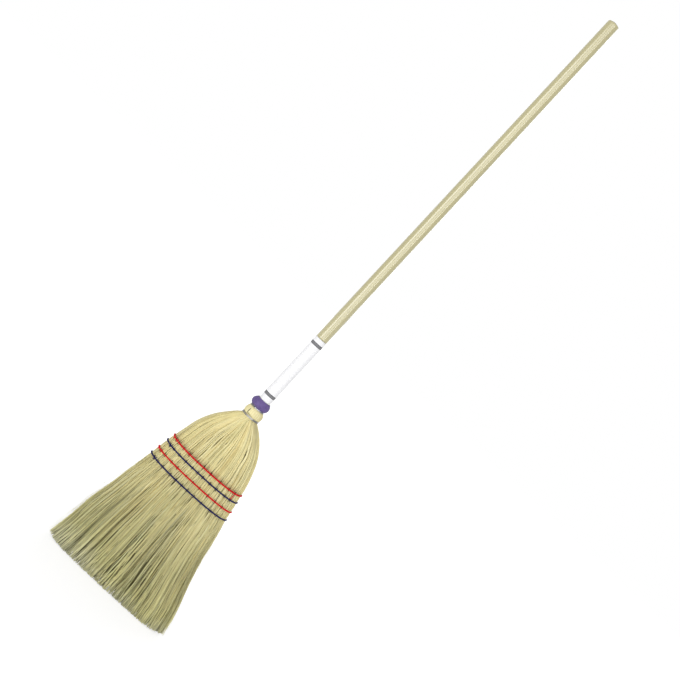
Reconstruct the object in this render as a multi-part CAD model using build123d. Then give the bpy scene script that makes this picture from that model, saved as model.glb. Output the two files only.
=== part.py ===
from build123d import *
import os
from collections import namedtuple
from math import acos, ceil, cos, dist, hypot, pi, sin, sqrt

# A flat straw broom, standing on its trimmed tips. Z runs up the handle, the handle's axis is
# x = y = 0, the floor is z = 0, X runs across the sweep and the front face looks along -Y.
# All lengths are millimetres.

# Overall sizes: handle top and waist above the floor, and the sweep at its tips
broom_length = 1400.0
waist_height = 420.0
sweep_left = 132.0
sweep_right = 162.0
sweep_half_depth = 27.0

# Handle: a turned wooden pole, tapered where the straw holds it, a little thinner under the label,
# reaching down below the waist
handle_reach = 87.0
handle_radius = 11.9
handle_edge_radius = 3.0
handle_crown = 0.8
handle_edge_steps = 3
handle_taper_length = 60.0
handle_end_radius = 5.5
label_seat_depth = 0.2
label_seat_above = 2.0

# Label sleeve: a thin printed film round the handle, starting a gap above the straw's butts
label_gap = 6.5
label_height = 158.8
label_thickness = 0.12
label_clearance = 0.06

# Neck: the waist, the bulge above it, the neck's top and the trimmed butts, each a rise above the last
butt_rise = 9.5
butt_step = 2.7
butt_radius = 12.95
neck_top_rise = 8.8
neck_top_half_width = 16.4
neck_top_half_depth = 15.2
bulge_rise = 11.5
bulge_half_width = 19.0
bulge_half_depth = 18.2
waist_radius = 17.6
waist_band = 6.2
butt_flute_share = 0.012
neck_flute_share = 0.03

# Fan of straw below the waist. Each row holds the height as a share of the waist height, the left
# and right half widths and the half depth as shares of the sweep's own at the tips, and the power
# of the rounded oval that the section follows.
fan_shares = (
    (0.979, 0.214, 0.201, 0.763, 2.1),
    (0.960, 0.277, 0.259, 0.837, 2.2),
    (0.917, 0.389, 0.356, 0.896, 2.3),
    (0.871, 0.473, 0.428, 0.881, 2.4),
    (0.826, 0.524, 0.474, 0.852, 2.4),
    (0.752, 0.585, 0.533, 0.807, 2.4),
    (0.631, 0.662, 0.594, 0.726, 2.4),
    (0.586, 0.688, 0.616, 0.711, 2.4),
    (0.374, 0.812, 0.732, 0.826, 2.4),
    (0.238, 0.891, 0.835, 0.896, 2.4),
    (0.102, 0.938, 0.938, 0.956, 2.4),
    (0.000, 1.000, 1.000, 1.000, 2.4),
)
bundle_end_share = 0.752
side_line_share = 0.86
hurl_depth_share = 0.36
flute_share = 0.04

# Straw bundles: clearances, and the counts of stalk-wide flutes and of points along a lining
straw_gap = 0.4
handle_gap = 0.2
hurl_flutes = 16
shoulder_flutes = 4
shoulder_top_share = 0.3
lining_points = 12
socket_facets = 24
overrun = 1.0

# Strands, from inside the bundle's end to the tips: heights as shares of the bundle's end height,
# the radius at each, and how many stand in each bundle between two lines of stitches
strand_height_shares = (0.8, 0.38, 0.0)
strand_radii = (0.95, 1.1, 1.45, 1.1)
strand_embed = 5.0
strand_sides = 3
bundles_across = 10
outer_per_bundle = 5
second_per_bundle = 4
inner_per_bundle = 4
outer_inset_share = 0.075
second_inset_share = 0.235
inner_layer_shares = (-0.68, 0.0, 0.68)
stitch_line_share = 0.016
shoulder_ring_shares = ((0.075, 0.84, 7), (0.25, 0.6, 3), (0.42, 0.0, 1))

# Sway of a strand as a share of the room beside it, the steps taken through that list, its turn as a
# share of a side, and the trim
hurl_sway_steps = 3
inner_sway_steps = 4
sway_shares = (0.0, 0.5, -0.35, 0.25, -0.6, 0.4, -0.2, 0.55, -0.45, 0.15, -0.5)
spread_shares = (0.0, 0.0, 0.6, 1.0)
middle_sway_share = 0.1
tip_sway_share = 0.26
turn_shares = (0.1, 0.7, 0.35, 0.9, 0.5, 0.2, 0.8)
tip_rise = 12.0
tip_rise_from_share = 0.66

# Binding wire, its stock drawn as a square section
wire_radius = 0.6
wire_pitch = 1.85
inner_pitch = 2.2
wire_bend_radius = 1.25
wire_clearance = 0.2
wire_hole_rise = 5.0
wire_leg_inner = 17.0
wire_leg_waist = 3.4
inner_turns = 3
inner_bends_per_turn = 24
waist_half_turns = 3
upper_half_turns = 2
inner_corn_drop = 12.0
inner_corn_spare = 1.55
inner_corn_radius = 14.2

# Collar over the butts, and the tack that holds the wire's end
collar_rise = 1.6
collar_height = 18.0
collar_rise_shares = (0.0, 0.2, 0.42, 0.6, 0.85, 1.0)
collar_swell_shares = (0.0, 0.72, 1.0, 0.93, 0.2, 0.0)
collar_belly_radius = 19.5
collar_top_radius = 14.0
collar_wall = 0.8
collar_clearance = 0.3
collar_facets = 32
tack_head_facets = 12
tack_head_radius = 2.1
tack_head_height = 0.7
tack_shank_radius = 0.7
tack_grip = 6.0
tack_clearance = 0.1

# Stitched twine rows: name, height at the sides as a share of the waist's, and how far the middle
# of each face sags
stitch_rows = (
    ("stitch_row_1_red", 0.719, 5.6),
    ("stitch_row_2_navy", 0.681, 4.6),
    ("stitch_row_3_red", 0.6333, 4.0),
    ("stitch_row_4_navy", 0.5905, 5.0),
)
twine_radius = 0.7
twine_clearance = 0.6
twine_self_gap = 0.55
stitch_rise = 2.9
shoulder_bends = 6

# Values worked out from the sizes above
handle_base = waist_height - handle_reach
bulge_height = waist_height + bulge_rise
neck_top_height = bulge_height + neck_top_rise
butt_base_height = neck_top_height + butt_step
butt_top_height = butt_base_height + butt_rise
label_base_height = butt_top_height + label_gap
seat_radius = handle_radius - label_seat_depth
label_radius = seat_radius + label_clearance + label_thickness
label_top_height = label_base_height + label_height
bundle_end_height = bundle_end_share * waist_height
wire_corner = wire_radius * sqrt(2)
inner_corn_top_height = waist_height - inner_corn_drop
inner_winding_rise = wire_hole_rise + inner_turns * inner_pitch + wire_corner
inner_corn_neck_height = inner_corn_top_height - inner_winding_rise - inner_corn_spare
wire_hole_height = inner_corn_neck_height + wire_hole_rise
wire_hole_radius = wire_bend_radius + wire_radius + wire_clearance
inner_wire_radius = inner_corn_radius + wire_clearance + wire_corner
waist_wire_radius = waist_radius + wire_clearance + wire_radius
upper_wire_radius = butt_radius + wire_clearance + wire_radius
waist_wire_base = waist_height - waist_half_turns * wire_pitch / 4
upper_wire_base = butt_base_height + wire_radius + wire_clearance
upper_wire_top = upper_wire_base + upper_half_turns * wire_pitch / 2
collar_base_height = butt_base_height + collar_rise
tack_height = upper_wire_top + wire_radius + tack_shank_radius + wire_clearance
tack_seat = upper_wire_radius + wire_radius + wire_clearance
collar_base_radius = tack_seat + tack_head_height + collar_clearance + collar_wall


def lerp(a, b, t):
    return a + (b - a) * t


# Half height of the rounded oval at a share of its half width
def oval(share, power):
    return max(0.0, 1.0 - abs(share) ** power) ** (1.0 / power)


# How far out a section is wide where it comes down to the parting between front and back straw
def parted_edge(half_width, half_depth, power):
    return half_width * oval(straw_gap / 2 / half_depth, power)


# One section of the straw at a height: its half widths and half depth, the power of its oval, the
# hurl's left and right edges, and the depths of its flutes and of the hurl itself
Section = namedtuple(
    "Section", "height left right deep power left_edge right_edge flutes hurl_depth"
)


def neck_section(height, half_width, half_depth, flutes):
    edge = parted_edge(half_width, half_depth, 2.0)
    flute_depth = flutes * half_depth
    return Section(height, half_width, half_width, half_depth, 2.0, edge, edge, flute_depth, 0.0)


def fan_section(number):
    height, left, right, deep, power = fan_shares[number]
    left, right, deep = left * sweep_left, right * sweep_right, deep * sweep_half_depth
    edges = (side_line_share * left, side_line_share * right)
    hurl_depth = hurl_depth_share * deep
    if number == 0:
        edges = (parted_edge(left, deep, power), parted_edge(right, deep, power))
        hurl_depth = 0.0
    height, flute_depth = height * waist_height, flute_share * deep
    return Section(height, left, right, deep, power, *edges, flute_depth, hurl_depth)


neck_rows = [
    neck_section(butt_top_height, butt_radius, butt_radius, butt_flute_share),
    neck_section(butt_base_height, butt_radius, butt_radius, butt_flute_share),
    neck_section(neck_top_height, neck_top_half_width, neck_top_half_depth, neck_flute_share),
    neck_section(bulge_height, bulge_half_width, bulge_half_depth, neck_flute_share),
    neck_section(waist_height + waist_band / 2, waist_radius, waist_radius, neck_flute_share),
    neck_section(waist_height - waist_band / 2, waist_radius, waist_radius, neck_flute_share),
]
sections = neck_rows + [fan_section(number) for number in range(len(fan_shares))]
bundle_sections = [section for section in sections if section.height >= bundle_end_height]


# The section at any height, on the straight line between its two neighbours
def section_at(height):
    for above, below in zip(sections, sections[1:]):
        if height >= below.height or below is sections[-1]:
            t = (above.height - height) / (above.height - below.height)
            return Section(*(lerp(a, b, t) for a, b in zip(above, below)))


# A point of a section's oval at an angle, moved inwards along the oval's normal
def rim_point(section, angle, inset):
    wide = section.right if cos(angle) > 0 else section.left
    deep, power = section.deep, section.power
    side, face = (1 if cos(angle) > 0 else -1), (1 if sin(angle) > 0 else -1)
    across, out = abs(cos(angle)) ** (2 / power), abs(sin(angle)) ** (2 / power)
    nx, ny = across ** (power - 1) / wide, out ** (power - 1) / deep
    size = hypot(nx, ny)
    return side * (across * wide - inset * nx / size), face * (out * deep - inset * ny / size)


# The angle at which the oval is a share of its half width wide
def rim_angle(share, power):
    turn = min(1.0, abs(share) ** (power / 2))
    return acos(turn if share > 0 else -turn)


def level_ring(points, height):
    return [Vector(x, y, height) for x, y in points]


# A closed solid whose sides run straight from each ring of corners to the next. Where the straw
# fans out, the sides aren't flat, so each is folded along a diagonal.
def straight_sided(rings, folded=False):
    outlines = [rings[0], rings[-1]]
    for first, second in zip(rings, rings[1:]):
        for i in range(len(first)):
            a, b, c, d = first[i], first[(i + 1) % len(first)], second[(i + 1) % len(first)], second[i]
            outlines += [[a, b, c], [a, c, d]] if folded else [[a, b, c, d]]
    return Solid(Shell([Face(Wire.make_polygon(outline, close=True)) for outline in outlines]))


# Outer edge of the hurl on one face, from right to left, crest and groove in turn
def hurl_rim(section, face):
    first = rim_angle(section.right_edge / section.right, section.power)
    last = rim_angle(-section.left_edge / section.left, section.power)
    points = []
    for i in range(2 * hurl_flutes + 1):
        t = i / hurl_flutes
        angle = lerp(first, pi / 2, t) if t <= 1 else lerp(pi / 2, last, t - 1)
        points.append(rim_point(section, face * angle, section.flutes if i % 2 else 0.0))
    return points


# Line between hurl and inner corn, from left to right, drawn in by a gap on the inner corn's side
def lining(section, gap):
    left_edge, right_edge, hurl_depth = section.left_edge, section.right_edge, section.hurl_depth
    if not hurl_depth:
        left_edge, right_edge = left_edge - straw_gap, right_edge - straw_gap
    points = []
    for i in range(lining_points + 1):
        turn = cos(pi * i / lining_points)
        edge, wide = (left_edge, section.left) if turn > 0 else (right_edge, section.right)
        out = section.deep * oval(turn * edge / wide, section.power) - hurl_depth
        points.append((-turn * (edge - gap), (out if hurl_depth else straw_gap / 2) - gap))
    return points


# A level ring of corners whose flats lie a radius from the handle's axis
def round_ring(radius, height, facets):
    turns = [pi * (2 * i + 1) / facets for i in range(facets)]
    reach = radius / cos(pi / facets)
    return level_ring([(reach * cos(a), reach * sin(a)) for a in turns], height)


# Clearance inside the hurl: the handle, the inner corn's neck and the wire round it
def hurl_core():
    wide = (inner_wire_radius + wire_corner) / cos(pi / inner_bends_per_turn) + wire_clearance
    narrow = inner_corn_radius + straw_gap
    slim = seat_radius + handle_gap
    top = inner_corn_top_height + straw_gap
    steps = (
        (slim, butt_top_height + overrun),
        (slim, top + wide - slim),
        (wide, top),
        (wide, inner_corn_neck_height),
        (narrow, inner_corn_neck_height - (wide - narrow)),
    )
    return straight_sided([round_ring(radius, height, socket_facets) for radius, height in steps])


def turned(points):
    face = Face(Wire.make_polygon([Vector(r, 0, z) for r, z in points], close=True))
    return Solid.revolve(face, 360, Axis.Z)


# A round hole along X, from one distance left of the axis to another
def side_hole(radius, inner, outer, y, height):
    plane = Plane(origin=(-outer, y, height), z_dir=(1, 0, 0))
    return Solid.make_cylinder(radius, outer - inner, plane)


# Rows of strands across one layer: the share across where the stitches pinch the straw, the share
# across at the tips, where it has spread evenly, and the room beside each strand
def bundle_places(per_bundle):
    width = 2 * side_line_share / bundles_across
    room = (width - 2 * stitch_line_share) / per_bundle
    places = []
    for bundle in range(bundles_across):
        start = bundle * width - side_line_share
        for i in range(per_bundle):
            pinched = start + stitch_line_share + (i + 0.5) * room
            spread = start + (i + 0.5) * width / per_bundle
            places.append((pinched, spread, room))
    return places


# The heights at which every strand's run may bend
strand_heights = [bundle_end_height + strand_embed] + [
    share * bundle_end_height for share in strand_height_shares
]
strand_sections = [section_at(height) for height in strand_heights]
sway_by_height_shares = (0.0, 0.0, middle_sway_share, tip_sway_share)


# The shares across that one strand has from its bundle down to its tip
def shares_across(place, sway):
    pinched, spread, room = place
    return [
        lerp(pinched, spread, loose) + sway * swing * room
        for loose, swing in zip(spread_shares, sway_by_height_shares)
    ]


# A hurl strand keeps its layer below the face all the way down: place and radius at each height
def hurl_run(place, inset_share, face, sway):
    run = []
    for section, across, radius in zip(strand_sections, shares_across(place, sway), strand_radii):
        wide = section.right if across > 0 else section.left
        out = section.deep * (oval(across, section.power) - inset_share)
        run.append((across * wide, face * out, section.height, radius))
    return run


# An inner strand keeps its share of the depth between the hurls
def inner_run(place, layer, sway):
    run = []
    for section, across, radius in zip(strand_sections, shares_across(place, sway), strand_radii):
        wide = section.right if across > 0 else section.left
        out = layer * section.deep * (oval(across, section.power) - hurl_depth_share)
        run.append((across * wide, out, section.height, radius))
    return straighter(run)


# Strands that don't show leave out the bend halfway down
def straighter(run):
    inside, pinched, _, tip = run
    return [inside, pinched, tip]


def shoulder_run(side, spread, inset_share):
    run = []
    for section, radius in zip(strand_sections, strand_radii):
        angle = spread * rim_angle(side_line_share, section.power)
        angle = angle if side > 0 else pi - angle
        x, y = rim_point(section, angle, inset_share * section.deep)
        run.append((x, y, section.height, radius))
    return run


# The tips are cut level, and rise a little towards both ends of the sweep
def trimmed(run):
    (x0, y0, z0, _), (x1, y1, z1, radius) = run[-2:]
    wide = sweep_right if x1 > 0 else sweep_left
    past = max(0.0, abs(x1) / wide - tip_rise_from_share) / (1 - tip_rise_from_share)
    rise = tip_rise * past * past
    t = (rise - z1) / (z0 - z1)
    return run[:-1] + [(lerp(x1, x0, t), lerp(y1, y0, t), rise, radius)]


# One strand: a few-sided stalk, each of its sides straight from one height to the next
def strand(run, turn):
    angles = [2 * pi * (i + turn) / strand_sides for i in range(strand_sides)]
    rings = [
        [Vector(x + radius * cos(a), y + radius * sin(a), z) for a in angles]
        for x, y, z, radius in trimmed(run)
    ]
    return straight_sided(rings)


def strands(runs):
    return [strand(run, turn_shares[i % len(turn_shares)]) for i, run in enumerate(runs)]


def hurl_runs(face):
    runs = []
    layers = ((outer_inset_share, outer_per_bundle), (second_inset_share, second_per_bundle))
    for inset_share, per_bundle in layers:
        for i, place in enumerate(bundle_places(per_bundle)):
            sway = sway_shares[(i * hurl_sway_steps + per_bundle + face) % len(sway_shares)]
            run = hurl_run(place, inset_share, face, sway)
            runs.append(run if inset_share == outer_inset_share else straighter(run))
    return runs


def inner_runs():
    runs = []
    for layer in inner_layer_shares:
        for i, place in enumerate(bundle_places(inner_per_bundle)):
            sway = sway_shares[(i * inner_sway_steps + len(runs)) % len(sway_shares)]
            runs.append(inner_run(place, layer, sway))
    return runs


def shoulder_runs(side):
    runs = []
    for inset_share, spread_share, count in shoulder_ring_shares:
        for i in range(count):
            spread = spread_share * (2 * i / (count - 1) - 1) if count > 1 else 0.0
            runs.append(shoulder_run(side, spread, inset_share))
    return runs


def joined(bundle, runs):
    whole = bundle.fuse(*strands(runs))
    return whole.solids()[0] if len(whole.solids()) == 1 else whole


# Hurl: the long straw that covers one face, open inside for the wound core
def hurl(face):
    rings = []
    for section in bundle_sections:
        inside = [(x, face * y) for x, y in lining(section, 0.0)]
        rings.append(level_ring(hurl_rim(section, face) + inside, section.height))
    bundle = straight_sided(rings, folded=True) - hurl_core()
    hole_radius = tack_shank_radius + tack_clearance
    bundle -= side_hole(hole_radius, 0, tack_seat + overrun, 0, tack_height)
    if face > 0:
        leg_end = waist_wire_radius - wire_bend_radius - wire_leg_waist - wire_clearance
        hole_radius = wire_radius + 2 * wire_clearance
        bundle -= side_hole(
            hole_radius, leg_end, waist_wire_radius + overrun, wire_bend_radius, waist_wire_base
        )
    return joined(bundle.solids()[0], hurl_runs(face))


# Inner corn: the short straw round the handle's taper that fills the middle of the fan
def inner_corn():
    corners = 2 * (lining_points + 1)
    turns = [pi * (2 * i + 1) / corners for i in range(corners)]
    ring = [(-inner_corn_radius * cos(a), -inner_corn_radius * sin(a)) for a in turns]
    rings = [level_ring(ring, height) for height in (inner_corn_top_height, inner_corn_neck_height)]
    for section in bundle_sections:
        if section.height < inner_corn_neck_height:
            front = lining(section, straw_gap)
            ring = [(x, -y) for x, y in front] + [(x, y) for x, y in reversed(front)]
            rings.append(level_ring(ring, section.height))
    bundle = straight_sided(rings, folded=True) - handle_socket()
    bundle -= side_hole(wire_hole_radius, 0, inner_wire_radius + overrun, 0, wire_hole_height)
    return joined(bundle.solids()[0], inner_runs())


def handle_socket():
    full = seat_radius + handle_gap
    steps = (
        (handle_end_radius + handle_gap, handle_base - handle_gap),
        (full, handle_base + handle_taper_length),
        (full, inner_corn_top_height + overrun),
    )
    return straight_sided([round_ring(radius, height, socket_facets) for radius, height in steps])


# Shoulder corn: the bundle that rounds out one side of the fan under the edge of both hurls
def shoulder_ring(section, side):
    wide, edge = section.left, section.left_edge
    if side > 0:
        wide, edge = section.right, section.right_edge
    inner, flutes = min(edge + straw_gap, wide - straw_gap), section.flutes
    spread = rim_angle(inner / wide, section.power)
    points = []
    for i in range(2 * shoulder_flutes + 1):
        angle = spread * (i / shoulder_flutes - 1)
        inset = flutes if i % 2 and wide - inner > 2 * flutes else 0.0
        x, y = rim_point(section, angle if side > 0 else pi - angle, inset)
        points.append((x, y))
    return points


def shoulder_corn(side):
    first, *rest = bundle_sections[len(neck_rows) :]
    rows = [section_at(lerp(first.height, rest[0].height, shoulder_top_share))] + rest
    rings = [level_ring(shoulder_ring(section, side), section.height) for section in rows]
    return joined(straight_sided(rings, folded=True), shoulder_runs(side))


# Handle: turned pole with a crowned, rounded top, the cross hole for the wire and the tack's hole
def handle():
    taper_top = handle_base + handle_taper_length
    seat_top = label_top_height + label_seat_above
    corners = [
        (0, handle_base),
        (handle_end_radius, handle_base),
        (seat_radius, taper_top),
        (seat_radius, seat_top),
        (handle_radius, seat_top),
    ]
    for i in range(handle_edge_steps + 1):
        turn = pi / 2 * i / handle_edge_steps
        drop = handle_crown + handle_edge_radius * (1 - sin(turn))
        corners.append((handle_radius - handle_edge_radius * (1 - cos(turn)), broom_length - drop))
    pole = turned(corners + [(0, broom_length)])
    reach = handle_radius + overrun
    pole -= side_hole(wire_hole_radius, -reach, reach, 0, wire_hole_height)
    hole_radius = tack_shank_radius + tack_clearance
    depth = tack_seat - tack_grip - tack_clearance
    pole -= side_hole(hole_radius, depth, tack_seat, 0, tack_height)
    return pole.solids()[0]


def label_sleeve():
    plane = Plane.XY.offset(label_base_height)
    outer = Solid.make_cylinder(label_radius, label_height, plane)
    return outer - Solid.make_cylinder(seat_radius + label_clearance, label_height, plane)


# Collar: a moulded shell that swells over the butts and closes on the label
def neck_collar():
    mouth = label_radius + collar_clearance
    outer, inner = [], []
    for rise, swell in zip(collar_rise_shares, collar_swell_shares):
        plain = lerp(collar_base_radius, collar_top_radius, rise)
        radius = lerp(plain, collar_belly_radius, swell)
        height = collar_base_height + rise * collar_height
        outer.append(round_ring(radius, height, collar_facets))
        inside = radius - collar_wall if rise < collar_rise_shares[-2] else mouth
        inner.append(round_ring(inside, height, collar_facets))
    return straight_sided(outer) - straight_sided(inner)


# Tack: a flat-headed nail driven into the handle, its head over the wire's end
def wire_tack():
    shank = side_hole(tack_shank_radius, tack_seat - tack_grip, tack_seat, 0, tack_height)
    turns = [2 * pi * i / tack_head_facets for i in range(tack_head_facets)]
    rings = [
        [Vector(x, tack_head_radius * cos(a), tack_height + tack_head_radius * sin(a)) for a in turns]
        for x in (-tack_seat, -tack_seat - tack_head_height)
    ]
    return shank.fuse(straight_sided(rings)).solids()[0]


# Half a turn of wire, flat in its own plane, from one side of the neck to the other
def half_turn(start, end, face):
    middle = (Vector(*start) + Vector(*end)) / 2
    radius = dist(start, end) / 2
    return Edge.make_three_point_arc(
        Vector(*start), middle + Vector(0, face * radius, 0), Vector(*end)
    )


# The wire comes out to the left along X, bends once and then winds: first over the front
def wire_route(leg, points):
    x, y, z = points[0]
    bend = wire_bend_radius
    corner = Vector(x + bend, bend, z)
    middle = Vector(x + bend * (1 - cos(pi / 4)), bend * sin(pi / 4), z)
    edges = [
        Edge.make_line(corner + Vector(leg, 0, 0), corner),
        Edge.make_three_point_arc(corner, middle, Vector(x, 0, z)),
    ]
    for i, (start, end) in enumerate(zip(points, points[1:])):
        edges.append(half_turn(start, end, 1 if i % 2 else -1))
    end = Vector(*points[-1])
    way = 1 if len(points) % 2 == 0 else -1
    edges.append(Edge.make_line(end, end + Vector(0, way * 2 * wire_radius, 0)))
    return edges


def turn_points(radius, base, count, side):
    return [
        ((side if i % 2 == 0 else -side) * radius, 0.0, base + i * wire_pitch / 2)
        for i in range(count + 1)
    ]


# Least gap between two stretches of one wire that lie a quarter turn or more apart along it
def self_gap(edges, radius, far):
    points, along = [], 0.0
    for edge in edges:
        steps = max(2, ceil(edge.length / radius / 2))
        for i in range(steps):
            points.append((edge.position_at(i / steps), along + edge.length * i / steps))
        along += edge.length
    gaps = [
        (a - b).length
        for i, (a, s) in enumerate(points)
        for b, t in points[i + 1 :]
        if t - s > far
    ]
    return min(gaps) - 2 * radius


# The hidden wire runs straight between close bends round the inner corn's neck
def inner_winding():
    bend, radius = wire_bend_radius, inner_wire_radius
    route = [
        Vector(wire_leg_inner - radius, bend, wire_hole_height),
        Vector(-(radius - bend), bend, wire_hole_height),
    ]
    count = inner_turns * inner_bends_per_turn
    for i in range(count + 1):
        turn = pi + 2 * pi * i / inner_bends_per_turn
        rise = inner_pitch * i / inner_bends_per_turn
        route.append(Vector(radius * cos(turn), radius * sin(turn), wire_hole_height + rise))
    edges = [Edge.make_line(a, b) for a, b in zip(route, route[1:])]
    gap = self_gap(edges, wire_corner, pi / 2 * inner_corn_radius)
    print("inner_winding least gap to itself", round(gap, 2), "mm")
    return mitred_tube(route, wire_radius)


def binding_wire():
    points = turn_points(waist_wire_radius, waist_wire_base, waist_half_turns, -1)
    points += turn_points(upper_wire_radius, upper_wire_base, upper_half_turns, -1)
    edges = wire_route(wire_leg_waist, points)
    gap = self_gap(edges, wire_radius, pi / 2 * inner_corn_radius)
    print("binding_wire least gap to itself", round(gap, 2), "mm")
    plane = Plane(origin=edges[0].position_at(0), z_dir=(-1, 0, 0), x_dir=(0, 1, 0))
    corners = [(a * wire_radius, b * wire_radius, 0) for a, b in ((-1, -1), (1, -1), (1, 1), (-1, 1))]
    section = Wire.make_polygon([plane.from_local_coords(corner) for corner in corners], close=True)
    return Solid.sweep(section, Wire(edges))


# Place on a stitched row: the fan's rim at an angle and height, a distance outside the strands
def row_point(angle, height, out):
    spans = zip(strand_sections, strand_sections[1:], strand_radii, strand_radii[1:])
    for above, below, thick, thin in spans:
        if height >= below.height:
            t = (above.height - height) / (above.height - below.height)
            (x0, y0), (x1, y1) = (
                rim_point(section, angle, outer_inset_share * section.deep - radius - out)
                for section, radius in ((above, thick), (below, thin))
            )
            return Vector(lerp(x0, x1, t), lerp(y0, y1, t), height)


# Route of one row: once round the straw, then through and through, crossing itself on each face
def row_route(side_height, sag):
    band = twine_clearance + twine_radius
    over = band + 2 * twine_radius + twine_self_gap
    power = strand_sections[0].power
    shares = [side_line_share * (2 * i / bundles_across - 1) for i in range(bundles_across + 1)]
    lines = [rim_angle(share, power) for share in shares]

    def at(angle, out, rise=0.0):
        return row_point(angle, side_height - sag * abs(sin(angle)) + rise, out)

    left, right = lines[0], lines[-1]
    start = at(left, band)
    route = [Vector(start.X, 0, start.Z), start]
    route += [at(lerp(left, 2 * pi - left, i / shoulder_bends), band) for i in range(1, shoulder_bends)]
    route += [at(-angle, band) for angle in lines]
    route += [at(lerp(-right, right, i / shoulder_bends), band) for i in range(1, shoulder_bends)]
    route += [at(angle, band) for angle in reversed(lines[1:])]
    route.append(at(lines[1], band, -stitch_rise))
    for number, angle in enumerate(lines[1:]):
        if number:
            route.append(at(angle, over, -stitch_rise))
        route.append(at(-angle, over, -stitch_rise))
        route.append(at(-angle, over, stitch_rise))
        if angle is not right:
            route.append(at(angle, over, stitch_rise))
    last = at(-right, over, stitch_rise)
    route.append(Vector(last.X, 0, last.Z))
    return route


# A square-sided tube along straight runs, mitred where two runs meet
def mitred_tube(route, radius):
    ways = [(b - a).normalized() for a, b in zip(route, route[1:])]
    up = Vector(0, 0, 1)
    across = ways[0].cross(up).normalized()
    up = across.cross(ways[0])
    corners = [
        route[0] + across * a * radius + up * b * radius
        for a, b in ((-1, -1), (1, -1), (1, 1), (-1, 1))
    ]
    rings = [corners]
    for i, way in enumerate(ways):
        end = route[i + 1]
        normal = way if i + 1 == len(ways) else (way + ways[i + 1]).normalized()
        corners = [c + way * ((end - c).dot(normal) / way.dot(normal)) for c in corners]
        rings.append(corners)
    return straight_sided(rings)


# Least gap between any two strands, measured on points along both
def least_strand_gap(runs):
    heights = [lerp(a, b, t / 4) for a, b in zip(strand_heights, strand_heights[1:]) for t in range(4)]
    trails = []
    for run in runs:
        trail = []
        for height in heights + [0.0]:
            i = max(i for i in range(len(run) - 1) if run[i][2] >= height)
            t = (run[i][2] - height) / (run[i][2] - run[i + 1][2])
            trail.append([lerp(run[i][k], run[i + 1][k], t) for k in (0, 1, 3)])
        trails.append(trail)
    gaps = [
        min(hypot(a[0] - b[0], a[1] - b[1]) - a[2] - b[2] for a, b in zip(one, other))
        for i, one in enumerate(trails)
        for other in trails[i + 1 :]
    ]
    return min(gaps)


def write(name, solid):
    solid.label = name
    export_step(solid, f"parts/{name}.step")


def main():
    os.makedirs("parts", exist_ok=True)
    runs = hurl_runs(-1) + hurl_runs(1) + inner_runs() + shoulder_runs(-1) + shoulder_runs(1)
    print(len(runs), "strands, least gap", round(least_strand_gap(runs), 2), "mm")
    write("handle", handle())
    write("label_sleeve", label_sleeve())
    write("neck_collar", neck_collar())
    write("wire_tack", wire_tack())
    write("inner_winding", inner_winding())
    write("binding_wire", binding_wire())
    write("inner_corn", inner_corn())
    write("shoulder_corn_left", shoulder_corn(-1))
    write("shoulder_corn_right", shoulder_corn(1))
    write("hurl_front", hurl(-1))
    write("hurl_back", hurl(1))
    for name, height_share, sag in stitch_rows:
        write(name, mitred_tube(row_route(height_share * waist_height, sag), twine_radius))


main()
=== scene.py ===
import logging
from dataclasses import dataclass
from enum import Enum
from typing import Any, Callable, Mapping, Sequence

import bpy
import numpy as np
from mathutils import Matrix, Vector


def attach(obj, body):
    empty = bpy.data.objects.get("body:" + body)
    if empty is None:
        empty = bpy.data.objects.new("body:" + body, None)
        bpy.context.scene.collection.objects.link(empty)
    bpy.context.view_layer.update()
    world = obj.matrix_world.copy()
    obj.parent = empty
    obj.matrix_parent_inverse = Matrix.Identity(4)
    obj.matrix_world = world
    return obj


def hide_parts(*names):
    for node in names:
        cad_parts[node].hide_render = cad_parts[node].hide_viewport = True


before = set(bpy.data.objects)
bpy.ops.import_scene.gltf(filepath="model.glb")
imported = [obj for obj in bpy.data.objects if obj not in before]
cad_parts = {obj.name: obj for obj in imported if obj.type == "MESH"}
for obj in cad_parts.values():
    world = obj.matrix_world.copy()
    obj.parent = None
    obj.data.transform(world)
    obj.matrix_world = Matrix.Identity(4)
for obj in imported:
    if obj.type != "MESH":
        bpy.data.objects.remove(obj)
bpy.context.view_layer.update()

LOG = logging.getLogger("straw_broom")
MM = 0.001
FULL_TURN = 2 * np.pi
Array = np.ndarray
Colour = tuple[float, float, float, float]


class Slot(Enum):
    """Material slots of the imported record."""

    WOOD = "handle_wood"
    LABEL = "label_film"
    COLLAR = "collar_plastic"
    WIRE = "binding_wire"
    INNER = "inner_straw"
    STRAW = "straw"
    RED = "twine_red"
    NAVY = "twine_navy"


class Face(Enum):
    """The two flat sides of the sweep, by the sign of Y."""

    FRONT = -1
    BACK = 1


# Shader maths


def paint(red: int, green: int, blue: int) -> Colour:
    """Turns a display colour into linear light.

    Args:
        red: red as shown on a screen, 0 to 255.
        green: green as shown on a screen.
        blue: blue as shown on a screen.

    Returns:
        The linear colour with an alpha of 1.
    """
    share = np.array([red, green, blue]) / 255.0
    linear = np.where(share <= 0.04045, share / 12.92, ((share + 0.055) / 1.055) ** 2.4)
    return (*(float(v) for v in linear), 1.0)


def neutral(level: float) -> Colour:
    """A linear colour with no hue."""
    return (level, level, level, 1.0)


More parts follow.
